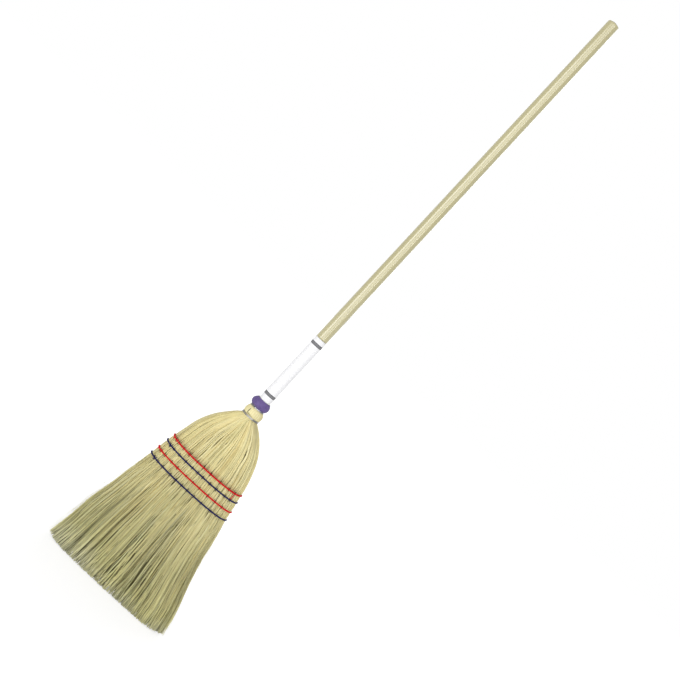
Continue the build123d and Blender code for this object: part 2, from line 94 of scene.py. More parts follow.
class Channel:
    """A shader socket. Arithmetic on it adds Math nodes to its board."""

    def __init__(self, board: "Board", socket: bpy.types.NodeSocket | None) -> None:
        """Keeps the socket and the board that it is on."""
        self.board = board
        self.socket = socket

    def maths(self, operation: str, first: Any, second: Any = 0.0) -> "Channel":
        """Adds one Math node on two operands, each a channel or a number."""
        return self.board.add("ShaderNodeMath", {"operation": operation}, {0: first, 1: second})

    def __add__(self, other: Any) -> "Channel":
        """Sum of the channel and other."""
        return self.maths("ADD", self, other)

    def __radd__(self, other: Any) -> "Channel":
        """Sum of other and the channel."""
        return self.maths("ADD", other, self)

    def __sub__(self, other: Any) -> "Channel":
        """The channel less other."""
        return self.maths("SUBTRACT", self, other)

    def __rsub__(self, other: Any) -> "Channel":
        """Other less the channel."""
        return self.maths("SUBTRACT", other, self)

    def __mul__(self, other: Any) -> "Channel":
        """Product of the channel and other."""
        return self.maths("MULTIPLY", self, other)

    def __rmul__(self, other: Any) -> "Channel":
        """Product of other and the channel."""
        return self.maths("MULTIPLY", other, self)

    def __gt__(self, other: Any) -> "Channel":
        """1 where the channel is above other, 0 elsewhere."""
        return self.maths("GREATER_THAN", self, other)

    def __lt__(self, other: Any) -> "Channel":
        """1 where the channel is below other, 0 elsewhere."""
        return self.maths("LESS_THAN", self, other)

    def __abs__(self) -> "Channel":
        """The channel without its sign."""
        return self.maths("ABSOLUTE", self)

    def clamped(self) -> "Channel":
        """The channel held between 0 and 1."""
        return self.maths("MAXIMUM", self.maths("MINIMUM", self, 1.0), 0.0)

    def ramp(self, low: float, high: float) -> "Channel":
        """Rises from 0 at low to 1 at high, and falls where high is the lower."""
        return ((self - low) * (1.0 / (high - low))).clamped()


class Board:
    """The nodes of one material or world, and the one method that adds any node."""

    def __init__(self, owner: str | bpy.types.World) -> None:
        """Starts with no nodes.

        Args:
            owner: a new material's name, or the world.
        """
        self.owner = bpy.data.materials.new(owner) if isinstance(owner, str) else owner
        self.owner.use_nodes = True
        self.tree = self.owner.node_tree
        self.tree.nodes.clear()

    def add(
        self,
        kind: str,
        settings: Mapping[str, Any] | None = None,
        inputs: Mapping[Any, Any] | None = None,
        output: Any = 0,
    ) -> Channel:
        """Adds a node, sets it up and feeds its sockets.

        Args:
            kind: the node's type.
            settings: its settings; "stops" holds a ramp's places and colours.
            inputs: socket name or number to a channel or a plain value.
            output: name or number of the output to hand back.

        Returns:
            The chosen output as a channel.
        """
        node = self.tree.nodes.new(kind)
        for key, value in (settings or {}).items():
            if key == "stops":
                ramp = node.color_ramp
                while len(ramp.elements) < len(value):
                    ramp.elements.new(1.0)
                for element, (place, colour) in zip(ramp.elements, value):
                    element.position, element.color = place, colour
            else:
                setattr(node, key, value)
        for key, value in (inputs or {}).items():
            if isinstance(value, Channel):
                self.tree.links.new(value.socket, node.inputs[key])
            else:
                node.inputs[key].default_value = value
        return Channel(self, node.outputs[output] if node.outputs else None)

    def spot(self) -> Channel:
        """Object coordinates, in metres."""
        return self.add("ShaderNodeTexCoord", output="Object")

    def axis(self, letter: str) -> Channel:
        """One object coordinate, in metres."""
        return self.add("ShaderNodeSeparateXYZ", None, {0: self.spot()}, letter)

    def noise(self, across: float, along: float, detail: float) -> Channel:
        """Noise about a middle of 0.5, with its own scale across and along Z."""
        place = self.add("ShaderNodeMapping", None, {"Vector": self.spot(), "Scale": (across, across, along)})
        return self.add("ShaderNodeTexNoise", None, {"Vector": place, "Scale": 1.0, "Detail": detail})

    def trait(self, name: str) -> Channel:
        """A number that the mesh carries at each of its points."""
        return self.add("ShaderNodeAttribute", {"attribute_name": name}, None, "Fac")

    def colours(self, where: Channel, stops: Sequence[tuple[float, Colour]]) -> Channel:
        """A run of colours read at where."""
        return self.add("ShaderNodeValToRGB", {"stops": tuple(stops)}, {0: where})

    def mixed(self, share: Any, first: Any, second: Any, way: str = "MIX") -> Channel:
        """First colour, with a share of the second, from 0 to 1, mixed in by the blend type way."""
        settings = {"data_type": "RGBA", "blend_type": way}
        return self.add("ShaderNodeMix", settings, {0: share, 6: first, 7: second}, 2)

    def times(self, first: Any, second: Any) -> Channel:
        """Product of two colours."""
        return self.mixed(1.0, first, second, "MULTIPLY")

    def bumped(self, height: Channel, strength: float, distance: float) -> Channel:
        """A normal pushed about by a height, whose 1 stands distance metres high."""
        inputs = {"Height": height, "Strength": strength, "Distance": distance}
        return self.add("ShaderNodeBump", None, inputs)

    def finished(self, **sockets: Any) -> bpy.types.Material:
        """Ends the board in a Principled shader.

        Args:
            sockets: Principled socket names, spaces as underscores, to channels or values.

        Returns:
            The material.
        """
        inputs = {name.replace("_", " "): value for name, value in sockets.items()}
        shader = self.add("ShaderNodeBsdfPrincipled", None, inputs)
        self.add("ShaderNodeOutputMaterial", None, {"Surface": shader})
        return self.owner


# Finishes. A noise is its scale across, its scale along Z and its detail.
# A window is where a ramp starts and ends.


@dataclass(frozen=True)
class LacqueredWood:
    """Pale turned wood under clear lacquer, its grain along Z."""

    early: Colour = paint(182, 173, 114)
    late: Colour = paint(174, 164, 104)
    pore: Colour = paint(162, 148, 90)
    broad_noise: tuple = (70.0, 2.4, 4.0)
    fine_noise: tuple = (260.0, 5.0, 3.0)
    pore_noise: tuple = (500.0, 9.0, 2.0)
    broad_share: float = 0.7
    grain_window: tuple = (0.34, 0.66)
    pore_window: tuple = (0.6, 0.76)
    pore_share: float = 0.15
    roughness: float = 0.5
    roughness_gain: float = 0.08
    coat_roughness: float = 0.17
    coat_ior: float = 2.2

    def made(self) -> bpy.types.Material:
        """Grain from two noises drawn out along Z, and pores from a finer one."""
        board = Board("lacquered_wood")
        fine = board.noise(*self.fine_noise)
        grain = board.noise(*self.broad_noise) * self.broad_share + fine * (1.0 - self.broad_share)
        pores = board.noise(*self.pore_noise).ramp(*self.pore_window)
        colour = board.mixed(grain.ramp(*self.grain_window), self.early, self.late)
        return board.finished(
            Base_Color=board.mixed(pores * self.pore_share, colour, self.pore),
            Roughness=self.roughness + fine * self.roughness_gain,
            Coat_Weight=1.0,
            Coat_Roughness=self.coat_roughness,
            Coat_IOR=self.coat_ior,
        )


@dataclass(frozen=True)
class LabelFilm:
    """White film with two grey rings; the printed place between them stays bare."""

    film: Colour = paint(252, 252, 254)
    ring: Colour = paint(122, 122, 125)
    ring_edge: Colour = paint(84, 84, 87)
    rings: tuple = ((0.4746, 0.4808), (0.6020, 0.6082))
    edge_width: float = 0.0011
    waver_noise: tuple = (60.0, 60.0, 1.0)
    waver: float = 0.0003
    crease_noise: tuple = (40.0, 14.0, 2.0)
    roughness: float = 0.5
    roughness_gain: float = 0.08

    def made(self) -> bpy.types.Material:
        """Rings are windows of Z, each with a darker line at both edges."""
        board = Board("label_film")
        height = board.axis("Z") + (board.noise(*self.waver_noise) - 0.5) * self.waver
        colour: Any = self.film
        for low, high in self.rings:
            inside = (height > low) * (height < high)
            middle = (height > low + self.edge_width) * (height < high - self.edge_width)
            colour = board.mixed(inside, colour, self.ring)
            colour = board.mixed(inside * (1.0 - middle), colour, self.ring_edge)
        crease = board.noise(*self.crease_noise)
        return board.finished(Base_Color=colour, Roughness=self.roughness + crease * self.roughness_gain)


@dataclass(frozen=True)
class MouldedCollar:
    """Soft purple moulded plastic, mottled, with a paler lip."""

    deep: Colour = paint(90, 72, 130)
    worn: Colour = paint(112, 94, 152)
    lip: Colour = paint(120, 124, 112)
    lip_height: float = 0.4624
    mottle_noise: tuple = (220.0, 220.0, 4.0)
    blotch_noise: tuple = (45.0, 45.0, 2.0)
    mottle_share: float = 0.4
    wear_window: tuple = (0.35, 0.68)
    roughness: float = 0.6
    roughness_gain: float = 0.12
    bump: tuple = (0.25, 0.0003)

    def made(self) -> bpy.types.Material:
        """Two noises pick between the deep and the worn colour, and the lip starts at a height."""
        board = Board("moulded_collar")
        mottle = board.noise(*self.mottle_noise)
        wear = mottle * self.mottle_share + board.noise(*self.blotch_noise) * (1.0 - self.mottle_share)
        colour = board.mixed(wear.ramp(*self.wear_window), self.deep, self.worn)
        return board.finished(
            Base_Color=board.mixed(board.axis("Z") > self.lip_height, colour, self.lip),
            Roughness=self.roughness + mottle * self.roughness_gain,
            Normal=board.bumped(mottle, *self.bump),
        )


@dataclass(frozen=True)
class DrawnSteel:
    """Bright drawn wire with faint draw marks, and a painted highlight down its middle."""

    name: str = "drawn_steel"
    bright: Colour = paint(160, 161, 166)
    dull: Colour = paint(118, 119, 124)
    # painted highlight: near-white where X is close to the middle, on the front and the back alike
    painted_highlight: Colour = paint(244, 244, 246)
    mark_noise: tuple = (700.0, 700.0, 3.0)
    dull_window: tuple = (0.45, 0.75)
    highlight_marks_window: tuple = (0.8, 0.3)
    rough_window: tuple = (0.4, 0.8)
    highlight_middle: float = 0.002
    highlight_window: tuple = (0.0085, 0.0034)
    roughness: float = 0.2
    bump: tuple = (0.1, 0.0001)

    def made(self) -> bpy.types.Material:
        """Dull specks from noise, and a painted highlight where X is near the middle, on front and back
        alike, broken up by the marks.
        """
        board = Board(self.name)
        marks = board.noise(*self.mark_noise)
        colour = board.mixed(marks.ramp(*self.dull_window), self.bright, self.dull)
        # painted highlight mask: near the middle in X, thinned out where the draw marks are
        painted_highlight_mask = abs(board.axis("X") - self.highlight_middle).ramp(*self.highlight_window)
        return board.finished(
            Base_Color=board.mixed(painted_highlight_mask * marks.ramp(*self.highlight_marks_window), colour, self.painted_highlight),
            Metallic=1.0,
            Roughness=self.roughness + marks.ramp(*self.rough_window) * self.roughness,
            Normal=board.bumped(marks, *self.bump),
        )


@dataclass(frozen=True)
class Straw:
    """Broomcorn: each fibre has a tint and a shade, and all grow greyer towards the tips."""

    name: str = "straw"
    deep: Colour = paint(222, 196, 118)
    mid: Colour = paint(248, 234, 174)
    pale: Colour = paint(252, 249, 209)
    green: Colour = paint(240, 231, 174)
    grey: Colour = paint(228, 228, 166)
    # painted light: the paler colour that the tips take
    painted_tip_light: Colour = paint(244, 242, 214)
    shadow: Colour = (0.10, 0.095, 0.045, 1.0)
    dim_streak: Colour = (0.90, 0.885, 0.84, 1.0)
    bright_streak: Colour = neutral(1.05)
    tint_places: tuple = (0.0, 0.35, 0.6, 0.75, 1.0)
    waver_noise: tuple = (14.0, 6.0, 3.0)
    waver: float = 0.12
    grey_window: tuple = (0.30, 0.0)
    grey_share: float = 0.75
    # painted light at the tips: paler over their last few centimetres, as if better lit
    painted_tip_window: tuple = (0.045, -0.01)
    painted_tip_share: float = 0.7
    fine_noise: tuple = (620.0, 26.0, 3.0)
    broad_noise: tuple = (70.0, 22.0, 2.0)
    broad_window: tuple = (0.24, 0.31)
    streak_window: tuple = (0.3, 0.7)
    # painted shade by height: darkest in the middle of the fringe, where the fibres shade each other, and
    # full at the tips and above the sewing
    height_shade: tuple = (
        (0.0, 1.0), (0.03, 0.97), (0.07, 0.855), (0.15, 0.79), (0.22, 0.84), (0.28, 0.92), (0.45, 1.0)
    )
    roughness: float = 0.56
    roughness_gain: float = 0.14
    bump: tuple = (0.2, 0.0003)

    def made(self) -> bpy.types.Material:
        """The tint picks a colour, Z greys it and pales the tips with painted light, noise streaks it, and
        painted shade darkens it, by height and by each fibre's shade.

        The streaks are fine below the sewing and broad above it, where the stalks lean.
        """
        board = Board(self.name)
        level = board.axis("Z")
        colours = (self.deep, self.mid, self.green, self.mid, self.pale)
        colour = board.colours(board.trait("tint"), tuple(zip(self.tint_places, colours)))
        height = level + (board.noise(*self.waver_noise) - 0.5) * self.waver
        colour = board.mixed(height.ramp(*self.grey_window) * self.grey_share, colour, self.grey)
        colour = board.mixed(height.ramp(*self.painted_tip_window) * self.painted_tip_share, colour, self.painted_tip_light)
        fine, broad = board.noise(*self.fine_noise), board.noise(*self.broad_noise)
        streak = fine + (broad - fine) * level.ramp(*self.broad_window)
        streaks = board.mixed(streak.ramp(*self.streak_window), self.dim_streak, self.bright_streak)
        height_shade = board.colours(level, [(place, neutral(tone)) for place, tone in self.height_shade])
        shade = board.mixed(board.trait("shade").clamped(), self.shadow, neutral(1.0))
        return board.finished(
            Base_Color=board.times(board.times(board.times(colour, streaks), height_shade), shade),
            Roughness=self.roughness + streak * self.roughness_gain,
            Normal=board.bumped(streak, *self.bump),
        )


@dataclass(frozen=True)
class TwistedTwine:
    """Dyed thread; each ply is a little paler on its fuzzy high spots."""

    name: str
    dye: Colour
    faded: Colour
    # painted shade: the dark brown that a stitch takes where it dives into the shadow between the stalks
    sunk: Colour = paint(58, 44, 26)
    fuzz_noise: tuple = (1500.0, 1500.0, 3.0)
    fade_window: tuple = (0.42, 0.72)
    roughness: float = 0.75
    roughness_gain: float = 0.2
    specular: float = 0.2
    bump: tuple = (0.4, 0.0002)

    def made(self) -> bpy.types.Material:
        """Fuzz from fine noise in colour and bump, and painted shade where a stitch dives between stalks."""
        board = Board(self.name)
        fuzz = board.noise(*self.fuzz_noise)
        colour = board.mixed(fuzz.ramp(*self.fade_window), self.dye, self.faded)
        return board.finished(
            Base_Color=board.mixed(board.trait("sunk"), colour, self.sunk),
            Roughness=self.roughness + fuzz * self.roughness_gain,
            Specular_IOR_Level=self.specular,
            Normal=board.bumped(fuzz, *self.bump),
        )


# Curves and meshes


def bell(x: Any, width: float, power: int = 2) -> Any:
    """exp(-(x / width)^power), which is 1 at 0 and nothing a few widths away."""
    return np.exp(-((x / width) ** power))


def rise(x: Any, low: Any, high: Any) -> Any:
    """Rises from 0 at low to 1 at high, and falls where high is the lower."""
    return np.clip((x - low) / (high - low), 0, 1)


def between(ends: Sequence[float], share: Any) -> Any:
    """The place a share of the way from the first end to the second."""
    return ends[0] + (ends[1] - ends[0]) * share


def bulge(c: Any, power: Any) -> Any:
    """sign(c) |c|^(2 / power), a coordinate of an oval of that power from its angle's cosine or sine."""
    return np.sign(c) * np.abs(c) ** (2 / power)


def unit(v: Array) -> Array:
    """Vectors brought to length 1."""
    return v / np.linalg.norm(v, axis=-1, keepdims=True)


def square(v: Array, ahead: Array) -> Array:
    """Unit vectors along what is left of v after its part along ahead is taken away."""
    return unit(v - ahead * np.sum(ahead * v, axis=-1, keepdims=True))


def ring_angles(count: int) -> Array:
    """Angles of evenly spaced points round a ring."""
    return np.arange(count) * FULL_TURN / count


def lengths(line: Array) -> Array:
    """How far along a line of points each point is."""
    return np.concatenate([[0], np.cumsum(np.linalg.norm(np.diff(line, axis=0), axis=1))])


def eased(x: Array, places: Array, values: Array) -> Array:
    """Reads a table between its rows on cubic curves that never overshoot.

    Between two rows the value is the Hermite cubic whose slope at each row is the harmonic mean
    of the straight slopes on its two sides, or 0 where these disagree in sign.

    Args:
        x: where to read, any shape.
        places: the rows' places, rising.
        values: the rows' values.

    Returns:
        The values at x.
    """
    step = np.diff(places)
    straight = np.diff(values) / step
    before, after = straight[:-1], straight[1:]
    same = before * after > 0
    total = np.where(same, before + after, 1.0)
    inner = np.where(same, 2.0 * before * after / total, 0.0)
    slope = np.concatenate([straight[:1], inner, straight[-1:]])
    x = np.clip(x, places[0], places[-1])
    row = np.clip(np.searchsorted(places, x, side="right") - 1, 0, len(step) - 1)
    t = (x - places[row]) / step[row]
    low = values[row] * (1 + 2 * t) * (1 - t) ** 2 + slope[row] * step[row] * t * (1 - t) ** 2
    high = values[row + 1] * t * t * (3 - 2 * t) + slope[row + 1] * step[row] * t * t * (t - 1)
    return low + high


def ring_quads(lower: Array, upper: Array, sides: int) -> Array:
    """Quads between rings of vertices.

    Args:
        lower: numbers of the rings that each strip starts from.
        upper: numbers of the rings that each strip ends at.
        sides: vertices of a ring.

    Returns:
        Vertex numbers, shaped (quads, 4).
    """
    side = np.arange(sides)
    beside = (side + 1) % sides
    lower, upper = lower.reshape(-1, 1) * sides, upper.reshape(-1, 1) * sides
    return np.stack([lower + side, lower + beside, upper + beside, upper + side], axis=-1).reshape(-1, 4)


def tube_mesh(paths: Array, radii: Array, sides: int, lie: Array, flat: float = 1.0) -> tuple[Array, list]:
    """Carries a small oval along many paths at once, with closed ends.

    A ring's points are path + radius * (cos a * across + flat * sin a * up), where across is lie
    less its part along the path, and up is the path's direction crossed with across.

    Args:
        paths: points, shaped (tubes, stations, 3).
        radii: radius at each station, shaped (tubes, stations), or with 1 for all of a tube's.
        sides: corners of each ring.
        lie: rough direction of across, able to broadcast to the paths.
        flat: thickness as a share of the width.

    Returns:
        The vertices and the faces.
    """
    count, stations = paths.shape[:2]
    ahead = unit(np.gradient(paths, axis=1))
    across = square(lie, ahead)
    up = np.cross(ahead, across)
    angle = ring_angles(sides)[:, None]
    ring = np.cos(angle) * across[:, :, None, :] + flat * np.sin(angle) * up[:, :, None, :]
    points = paths[:, :, None, :] + radii[:, :, None, None] * ring
    first = np.arange(count)[:, None] * stations
    lower = first + np.arange(stations - 1)
    start = first * sides + np.arange(sides)[::-1]
    end = (first + stations - 1) * sides + np.arange(sides)
    faces = ring_quads(lower, lower + 1, sides).tolist() + start.tolist() + end.tolist()
    return points.reshape(-1, 3), faces


def lathe_mesh(profile: Array, segments: int, wobble: Any = 0.0) -> tuple[Array, list]:
    """Turns a closed profile round Z.

    A point is (r cos a, r sin a, z), with r from the profile and a wobble that depends on a and
    the row. A profile that starts and ends at radius 0 closes in one pole at each end.

    Args:
        profile: rows of radius and height, going round the section with the outside on the right.
        segments: steps round the axis.
        wobble: additions to the radius, shaped (rows, segments).

    Returns:
        The vertices and the faces.
    """
    rows = len(profile)
    angle = ring_angles(segments)
    radius = profile[:, :1] + wobble
    height = np.broadcast_to(profile[:, 1:], (rows, segments))
    points = np.stack([radius * np.cos(angle), radius * np.sin(angle), height], axis=-1).reshape(-1, 3)
    poles = profile[0, 0] == 0 and profile[-1, 0] == 0
    row = np.arange(rows - poles)
    quads = ring_quads(row, (row + 1) % rows, segments)
    if not poles:
        return points, quads.tolist()
    shift = segments - 1
    points = points[shift : rows * segments - shift].copy()
    points[0], points[-1] = (0, 0, profile[0, 1]), (0, 0, profile[-1, 1])
    strips = quads.reshape(rows - 1, segments, 4) - shift
    start, end = strips[0, :, 1:].copy(), strips[-1, :, :3].copy()
    start[:, 0], end[:, 2] = 0, len(points) - 1
    return points, strips[1:-1].reshape(-1, 4).tolist() + start.tolist() + end.tolist()


def linked(name: str, data: bpy.types.ID) -> bpy.types.Object:
    """Puts an object in the scene.

    Args:
        name: the object's name.
        data: its mesh, lamp or camera.

    Returns:
        The object.
    """
    made = bpy.data.objects.new(name, data)
    bpy.context.scene.collection.objects.link(made)
    return made


def piece(
    name: str,
    points: Array,
    faces: list,
    material: bpy.types.Material,
    nodes: Sequence[str] = (),
    traits: Mapping[str, Array] | None = None,
) -> None:
    """Makes a mesh object that rides on the broom.

    Args:
        name: the piece's name.
        points: vertices in millimetres.
        faces: lists of vertex numbers.
        material: its material.
        nodes: CAD nodes that it stands for.
        traits: numbers at each vertex for the material to read.
    """
    mesh = bpy.data.meshes.new(name)
    mesh.from_pydata((points * MM).tolist(), [], faces)
    for key, values in (traits or {}).items():
        numbers = mesh.attributes.new(key, "FLOAT", "POINT").data
        numbers.foreach_set("value", values.astype(np.float32).ravel())
    mesh.materials.append(material)
    mesh.shade_smooth()
    mesh.validate()
    made = linked(name, mesh)
    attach(made, "root")
    if nodes:
        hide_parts(*nodes)
    LOG.info("%s: %d faces", name, len(faces))


# The shape of the straw, in millimetres


@dataclass(frozen=True)
class StitchRow:
    """One sewn row: its height, its stitches' places across and the slits that they open."""

    name: str
    node: str
    slot: Slot
    side_height: float
    sag: float
    ticks: tuple[float, ...]
    knotted: bool = False
    slit_drop: float = 0.6
    slit_reach: float = 5.0
    slit_width: float = 0.85

    def height(self, turn: Array) -> Array:
        """Height of the row at an angle round the sweep: side height - sag * |sin turn|."""
        return self.side_height - self.sag * np.abs(np.sin(turn))


STITCH_ROWS = (
    StitchRow("twine_row_1", "stitch_row_1_red", Slot.RED, 302.0, 5.8,
              (-70.4, -62.7, -48.5, -33.7, -13.8, 2.2, 19.9, 42.8, 62.7, 75.6)),
    StitchRow("twine_row_2", "stitch_row_2_navy", Slot.NAVY, 286.5, 4.8,
              (-71.5, -60.9, -46.5, -30.0, -13.3, 0.0, 12.5, 29.9, 45.7, 65.5, 77.5), knotted=True),
    StitchRow("twine_row_3", "stitch_row_3_red", Slot.RED, 266.0, 4.0,
              (-78.9, -66.8, -48.5, -33.2, -11.6, 5.2, 21.8, 42.0, 59.0, 75.2)),
    StitchRow("twine_row_4", "stitch_row_4_navy", Slot.NAVY, 248.8, 5.4,
              (-77.8, -67.3, -55.3, -35.0, -21.6, -6.3, 7.7, 24.0, 42.0, 64.5, 78.4), knotted=True,
              slit_drop=7.0, slit_reach=12.0, slit_width=1.0),
)

# Slits between the front's stalks: place across and height of the middle, reach and width.
PARTINGS = (
    (-12.0, 350.0, 15.0, 1.5), (2.0, 359.0, 9.0, 1.5), (-53.0, 354.0, 9.0, 1.0), (-27.0, 341.0, 13.0, 0.9),
    (15.6, 327.0, 12.0, 1.3), (33.0, 391.0, 6.0, 1.1), (55.0, 341.0, 12.0, 1.3), (43.0, 366.0, 9.0, 1.2),
    (-18.0, 316.0, 11.0, 0.9), (68.0, 325.0, 12.0, 0.8),
)
BACK_SHARE = 0.9
BOTH_FACES = 0

# The straw's outside from the tips to the butts: height, half widths left and right, half depth,
# and the oval's power.
OUTLINE = np.array(
    (
        (0.0, 130.2, 158.6, 27.0, 2.4), (42.8, 122.2, 150.4, 26.0, 2.4), (100.0, 116.4, 132.6, 24.4, 2.4),
        (157.1, 105.6, 116.9, 22.3, 2.4), (214.0, 96.0, 106.1, 20.4, 2.4), (246.1, 90.2, 98.6, 19.3, 2.4),
        (265.0, 86.9, 95.3, 19.6, 2.4), (290.0, 82.5, 90.6, 20.8, 2.4), (315.8, 76.3, 85.6, 21.8, 2.4),
        (346.9, 68.6, 76.2, 23.0, 2.4), (365.8, 61.0, 68.4, 23.8, 2.4), (385.1, 49.8, 56.4, 24.2, 2.3),
        (403.2, 35.2, 40.6, 22.4, 2.2), (411.2, 28.0, 31.6, 20.6, 2.1), (416.4, 22.4, 24.6, 18.8, 2.0),
        (419.6, 18.2, 20.0, 17.4, 2.0), (421.4, 16.9, 18.2, 17.0, 2.0), (425.0, 17.0, 18.5, 17.0, 2.0),
        (428.0, 17.9, 19.3, 17.4, 2.0), (432.0, 18.0, 19.5, 17.5, 2.0), (438.0, 16.5, 17.9, 16.2, 2.0),
        (442.0, 14.4, 14.8, 14.2, 2.0), (445.0, 13.0, 13.0, 13.0, 2.0), (456.0, 12.6, 12.6, 12.6, 2.0),
    )
)


@dataclass
class Fan:
    """The surface that all the straw follows."""

    row_sink: float = 0.8
    row_reach: float = 5.0
    push_reach: float = 5.0
    slit_core: float = 0.3
    deepest_across: float = 9.0
    least_depth: float = 0.4
    spread_height: float = 240.0
    jitter: float = 0.45

    def section(self, height: Array) -> tuple[Array, Array, Array, Array]:
        """Half widths to the left and right, half depth and oval power at a height."""
        return tuple(eased(height, OUTLINE[:, 0], OUTLINE[:, i]) for i in range(1, 5))

    def turn_at(self, across: float, height: float) -> float:
        """The angle, between 0 and pi, of a place across the sweep.

        Args:
            across: the place across.
            height: its height.

        Returns:
            The angle.
        """
        left, right, _, power = self.section(np.array([height]))
        share = min(1.0, abs(across) / float(right[0] if across > 0 else left[0])) ** (power[0] / 2)
        return float(np.arccos(np.clip(np.sign(across) * share, -1, 1)))

    def place(self, turn: Array, height: Array, inset: Array, parted: bool = False) -> Array:
        """A point of the sweep.

        With c and s the cosine and sine of turn, x = sign(c) |c|^(2/p) (wide - inset) and
        y = sign(s) |s|^(2/p) (deep - inset). Close to a row the point sinks by a bell of its
        distance from it, and partings push it sideways.

        Args:
            turn: angle round the sweep.
            height: height above the floor.
            inset: distance below the surface.
            parted: whether the rows and partings move the point.

        Returns:
            Points shaped as the arguments with 3 added.
        """
        turn, height, inset = np.broadcast_arrays(turn, height, inset)
        left, right, deep, power = self.section(height)
        c, s = np.cos(turn), np.sin(turn)
        if parted:
            for row in STITCH_ROWS:
                inset = inset + self.row_sink * bell(height - row.height(turn), self.row_reach)
        x = bulge(c, power) * (np.where(c > 0, right, left) - np.minimum(inset, self.deepest_across))
        y = bulge(s, power) * np.maximum(deep - inset, self.least_depth)
        if parted:
            x = x + self.parting(turn, height)[0]
        return np.stack([x, y, height], axis=-1)

    def slits(self) -> list[tuple[float, float, float, float, int]]:
        """Every parting and stitch as angle, height, reach, width and face, the sign of its Y."""
        found = []
        for across, height, *size in PARTINGS:
            found.append((self.turn_at(across, height), height, *size, Face.FRONT.value))
            found.append((self.turn_at(-across * BACK_SHARE, height), height, *size, Face.BACK.value))
        for row in STITCH_ROWS:
            for across in row.ticks:
                turn = self.turn_at(across, row.side_height - row.sag)
                middle = float(row.height(turn)) - row.slit_drop
                found.append((turn, middle, row.slit_reach, row.slit_width, BOTH_FACES))
        return found

    def parting(self, turn: Array, height: Array) -> tuple[Array, Array]:
        """Moves sideways and shade that the slits give.

        For a slit at angle a, height h, reach r and width w, with d the distance across from it,
        the move is w sign(d) exp(-((z - h) / r)^2) exp(-|d| / push reach), and the shade is
        exp(-((z - h) / r)^2) exp(-(d / (w / 3 + core))^2).

        Args:
            turn: angles round the sweep.
            height: heights.

        Returns:
            The moves and the shades, each shaped as the arguments.
        """
        move, shade = np.zeros(np.shape(turn)), np.zeros(np.shape(turn))
        left, right, _, power = self.section(height)
        side = np.sign(np.sin(turn))
        c = np.cos(turn)
        x = bulge(c, power) * np.where(c > 0, right, left)
        for angle, middle, reach, width, face in self.slits():
            c = np.cos(angle)
            away = x - bulge(c, power) * (right if c > 0 else left)
            near = bell(height - middle, reach) * ((face == BOTH_FACES) | (side == face))
            move += width * np.sign(away) * near * np.exp(-np.abs(away) / self.push_reach)
            shade = np.maximum(shade, near * bell(away, width / 3 + self.slit_core))
        return move, shade

    def unrolled(self, height: Callable[[Array], Any], inset: float, steps: int) -> tuple[Array, Array]:
        """Angles round the sweep, and how far along its outline each is.

        Args:
            height: the line's height at an angle.
            inset: its distance below the surface.
            steps: how many angles.

        Returns:
            The angles and the distances.
        """
        fine = np.linspace(0, FULL_TURN, steps)
        return fine, lengths(self.place(fine, height(fine), inset))

    def even_turns(self, count: int, draw: np.random.Generator) -> Array:
        """Angles whose places are spread evenly along the outline, with jitter.

        Args:
            count: how many.
            draw: random numbers.

        Returns:
            The angles.
        """
        fine, along = self.unrolled(lambda turn: self.spread_height, 0.0, 2001)
        wanted = (np.arange(count) + draw.uniform(-self.jitter, self.jitter, count)) / count % 1.0
        return np.interp(wanted * along[-1], along, fine)


@dataclass(frozen=True)
class Habit:
    """How fibres differ from their neighbours.

    Of a single fibre: the spread of its shade and how much of the drift it takes alone. Of a
    tuft: the spread of its shade and tint, and how far it sways.
    """

    shade_spread: float
    own_lean: float
    tuft_shade: float
    tuft_tint: float
    sway: float


SEWN_HABIT = Habit(0.05, 0.35, 0.24, 0.04, 0.45)
LOOSE_HABIT = Habit(0.3, 0.85, 0.38, 0.14, 0.2)


@dataclass
class FibreLayer:
    """A crowd of fibres that run down the sweep.

    Pairs are the least and the greatest, but for the wave, which is its size and length, and the
    shade, which runs from the outermost fibre to the innermost. The tufts are their least and
    greatest widths and how far they pull together. A neck step is above 0 where the fibres start
    in the neck, and sewn is how many stations they have between the rows.
    """

    name: str
    seed: int
    count: int
    sides: int
    stations: int
    top: tuple[float, float]
    end: tuple[float, float]
    inset: tuple[float, float]
    radius: tuple[float, float]
    flat: float
    taper: float
    wave: tuple[float, float]
    drift: float
    tufts: tuple[float, float, float]
    tint: tuple[float, float]
    shade: tuple[float, float]
    neck_step: int = 0
    sewn: int = 0
    cut_short: float = 0.0


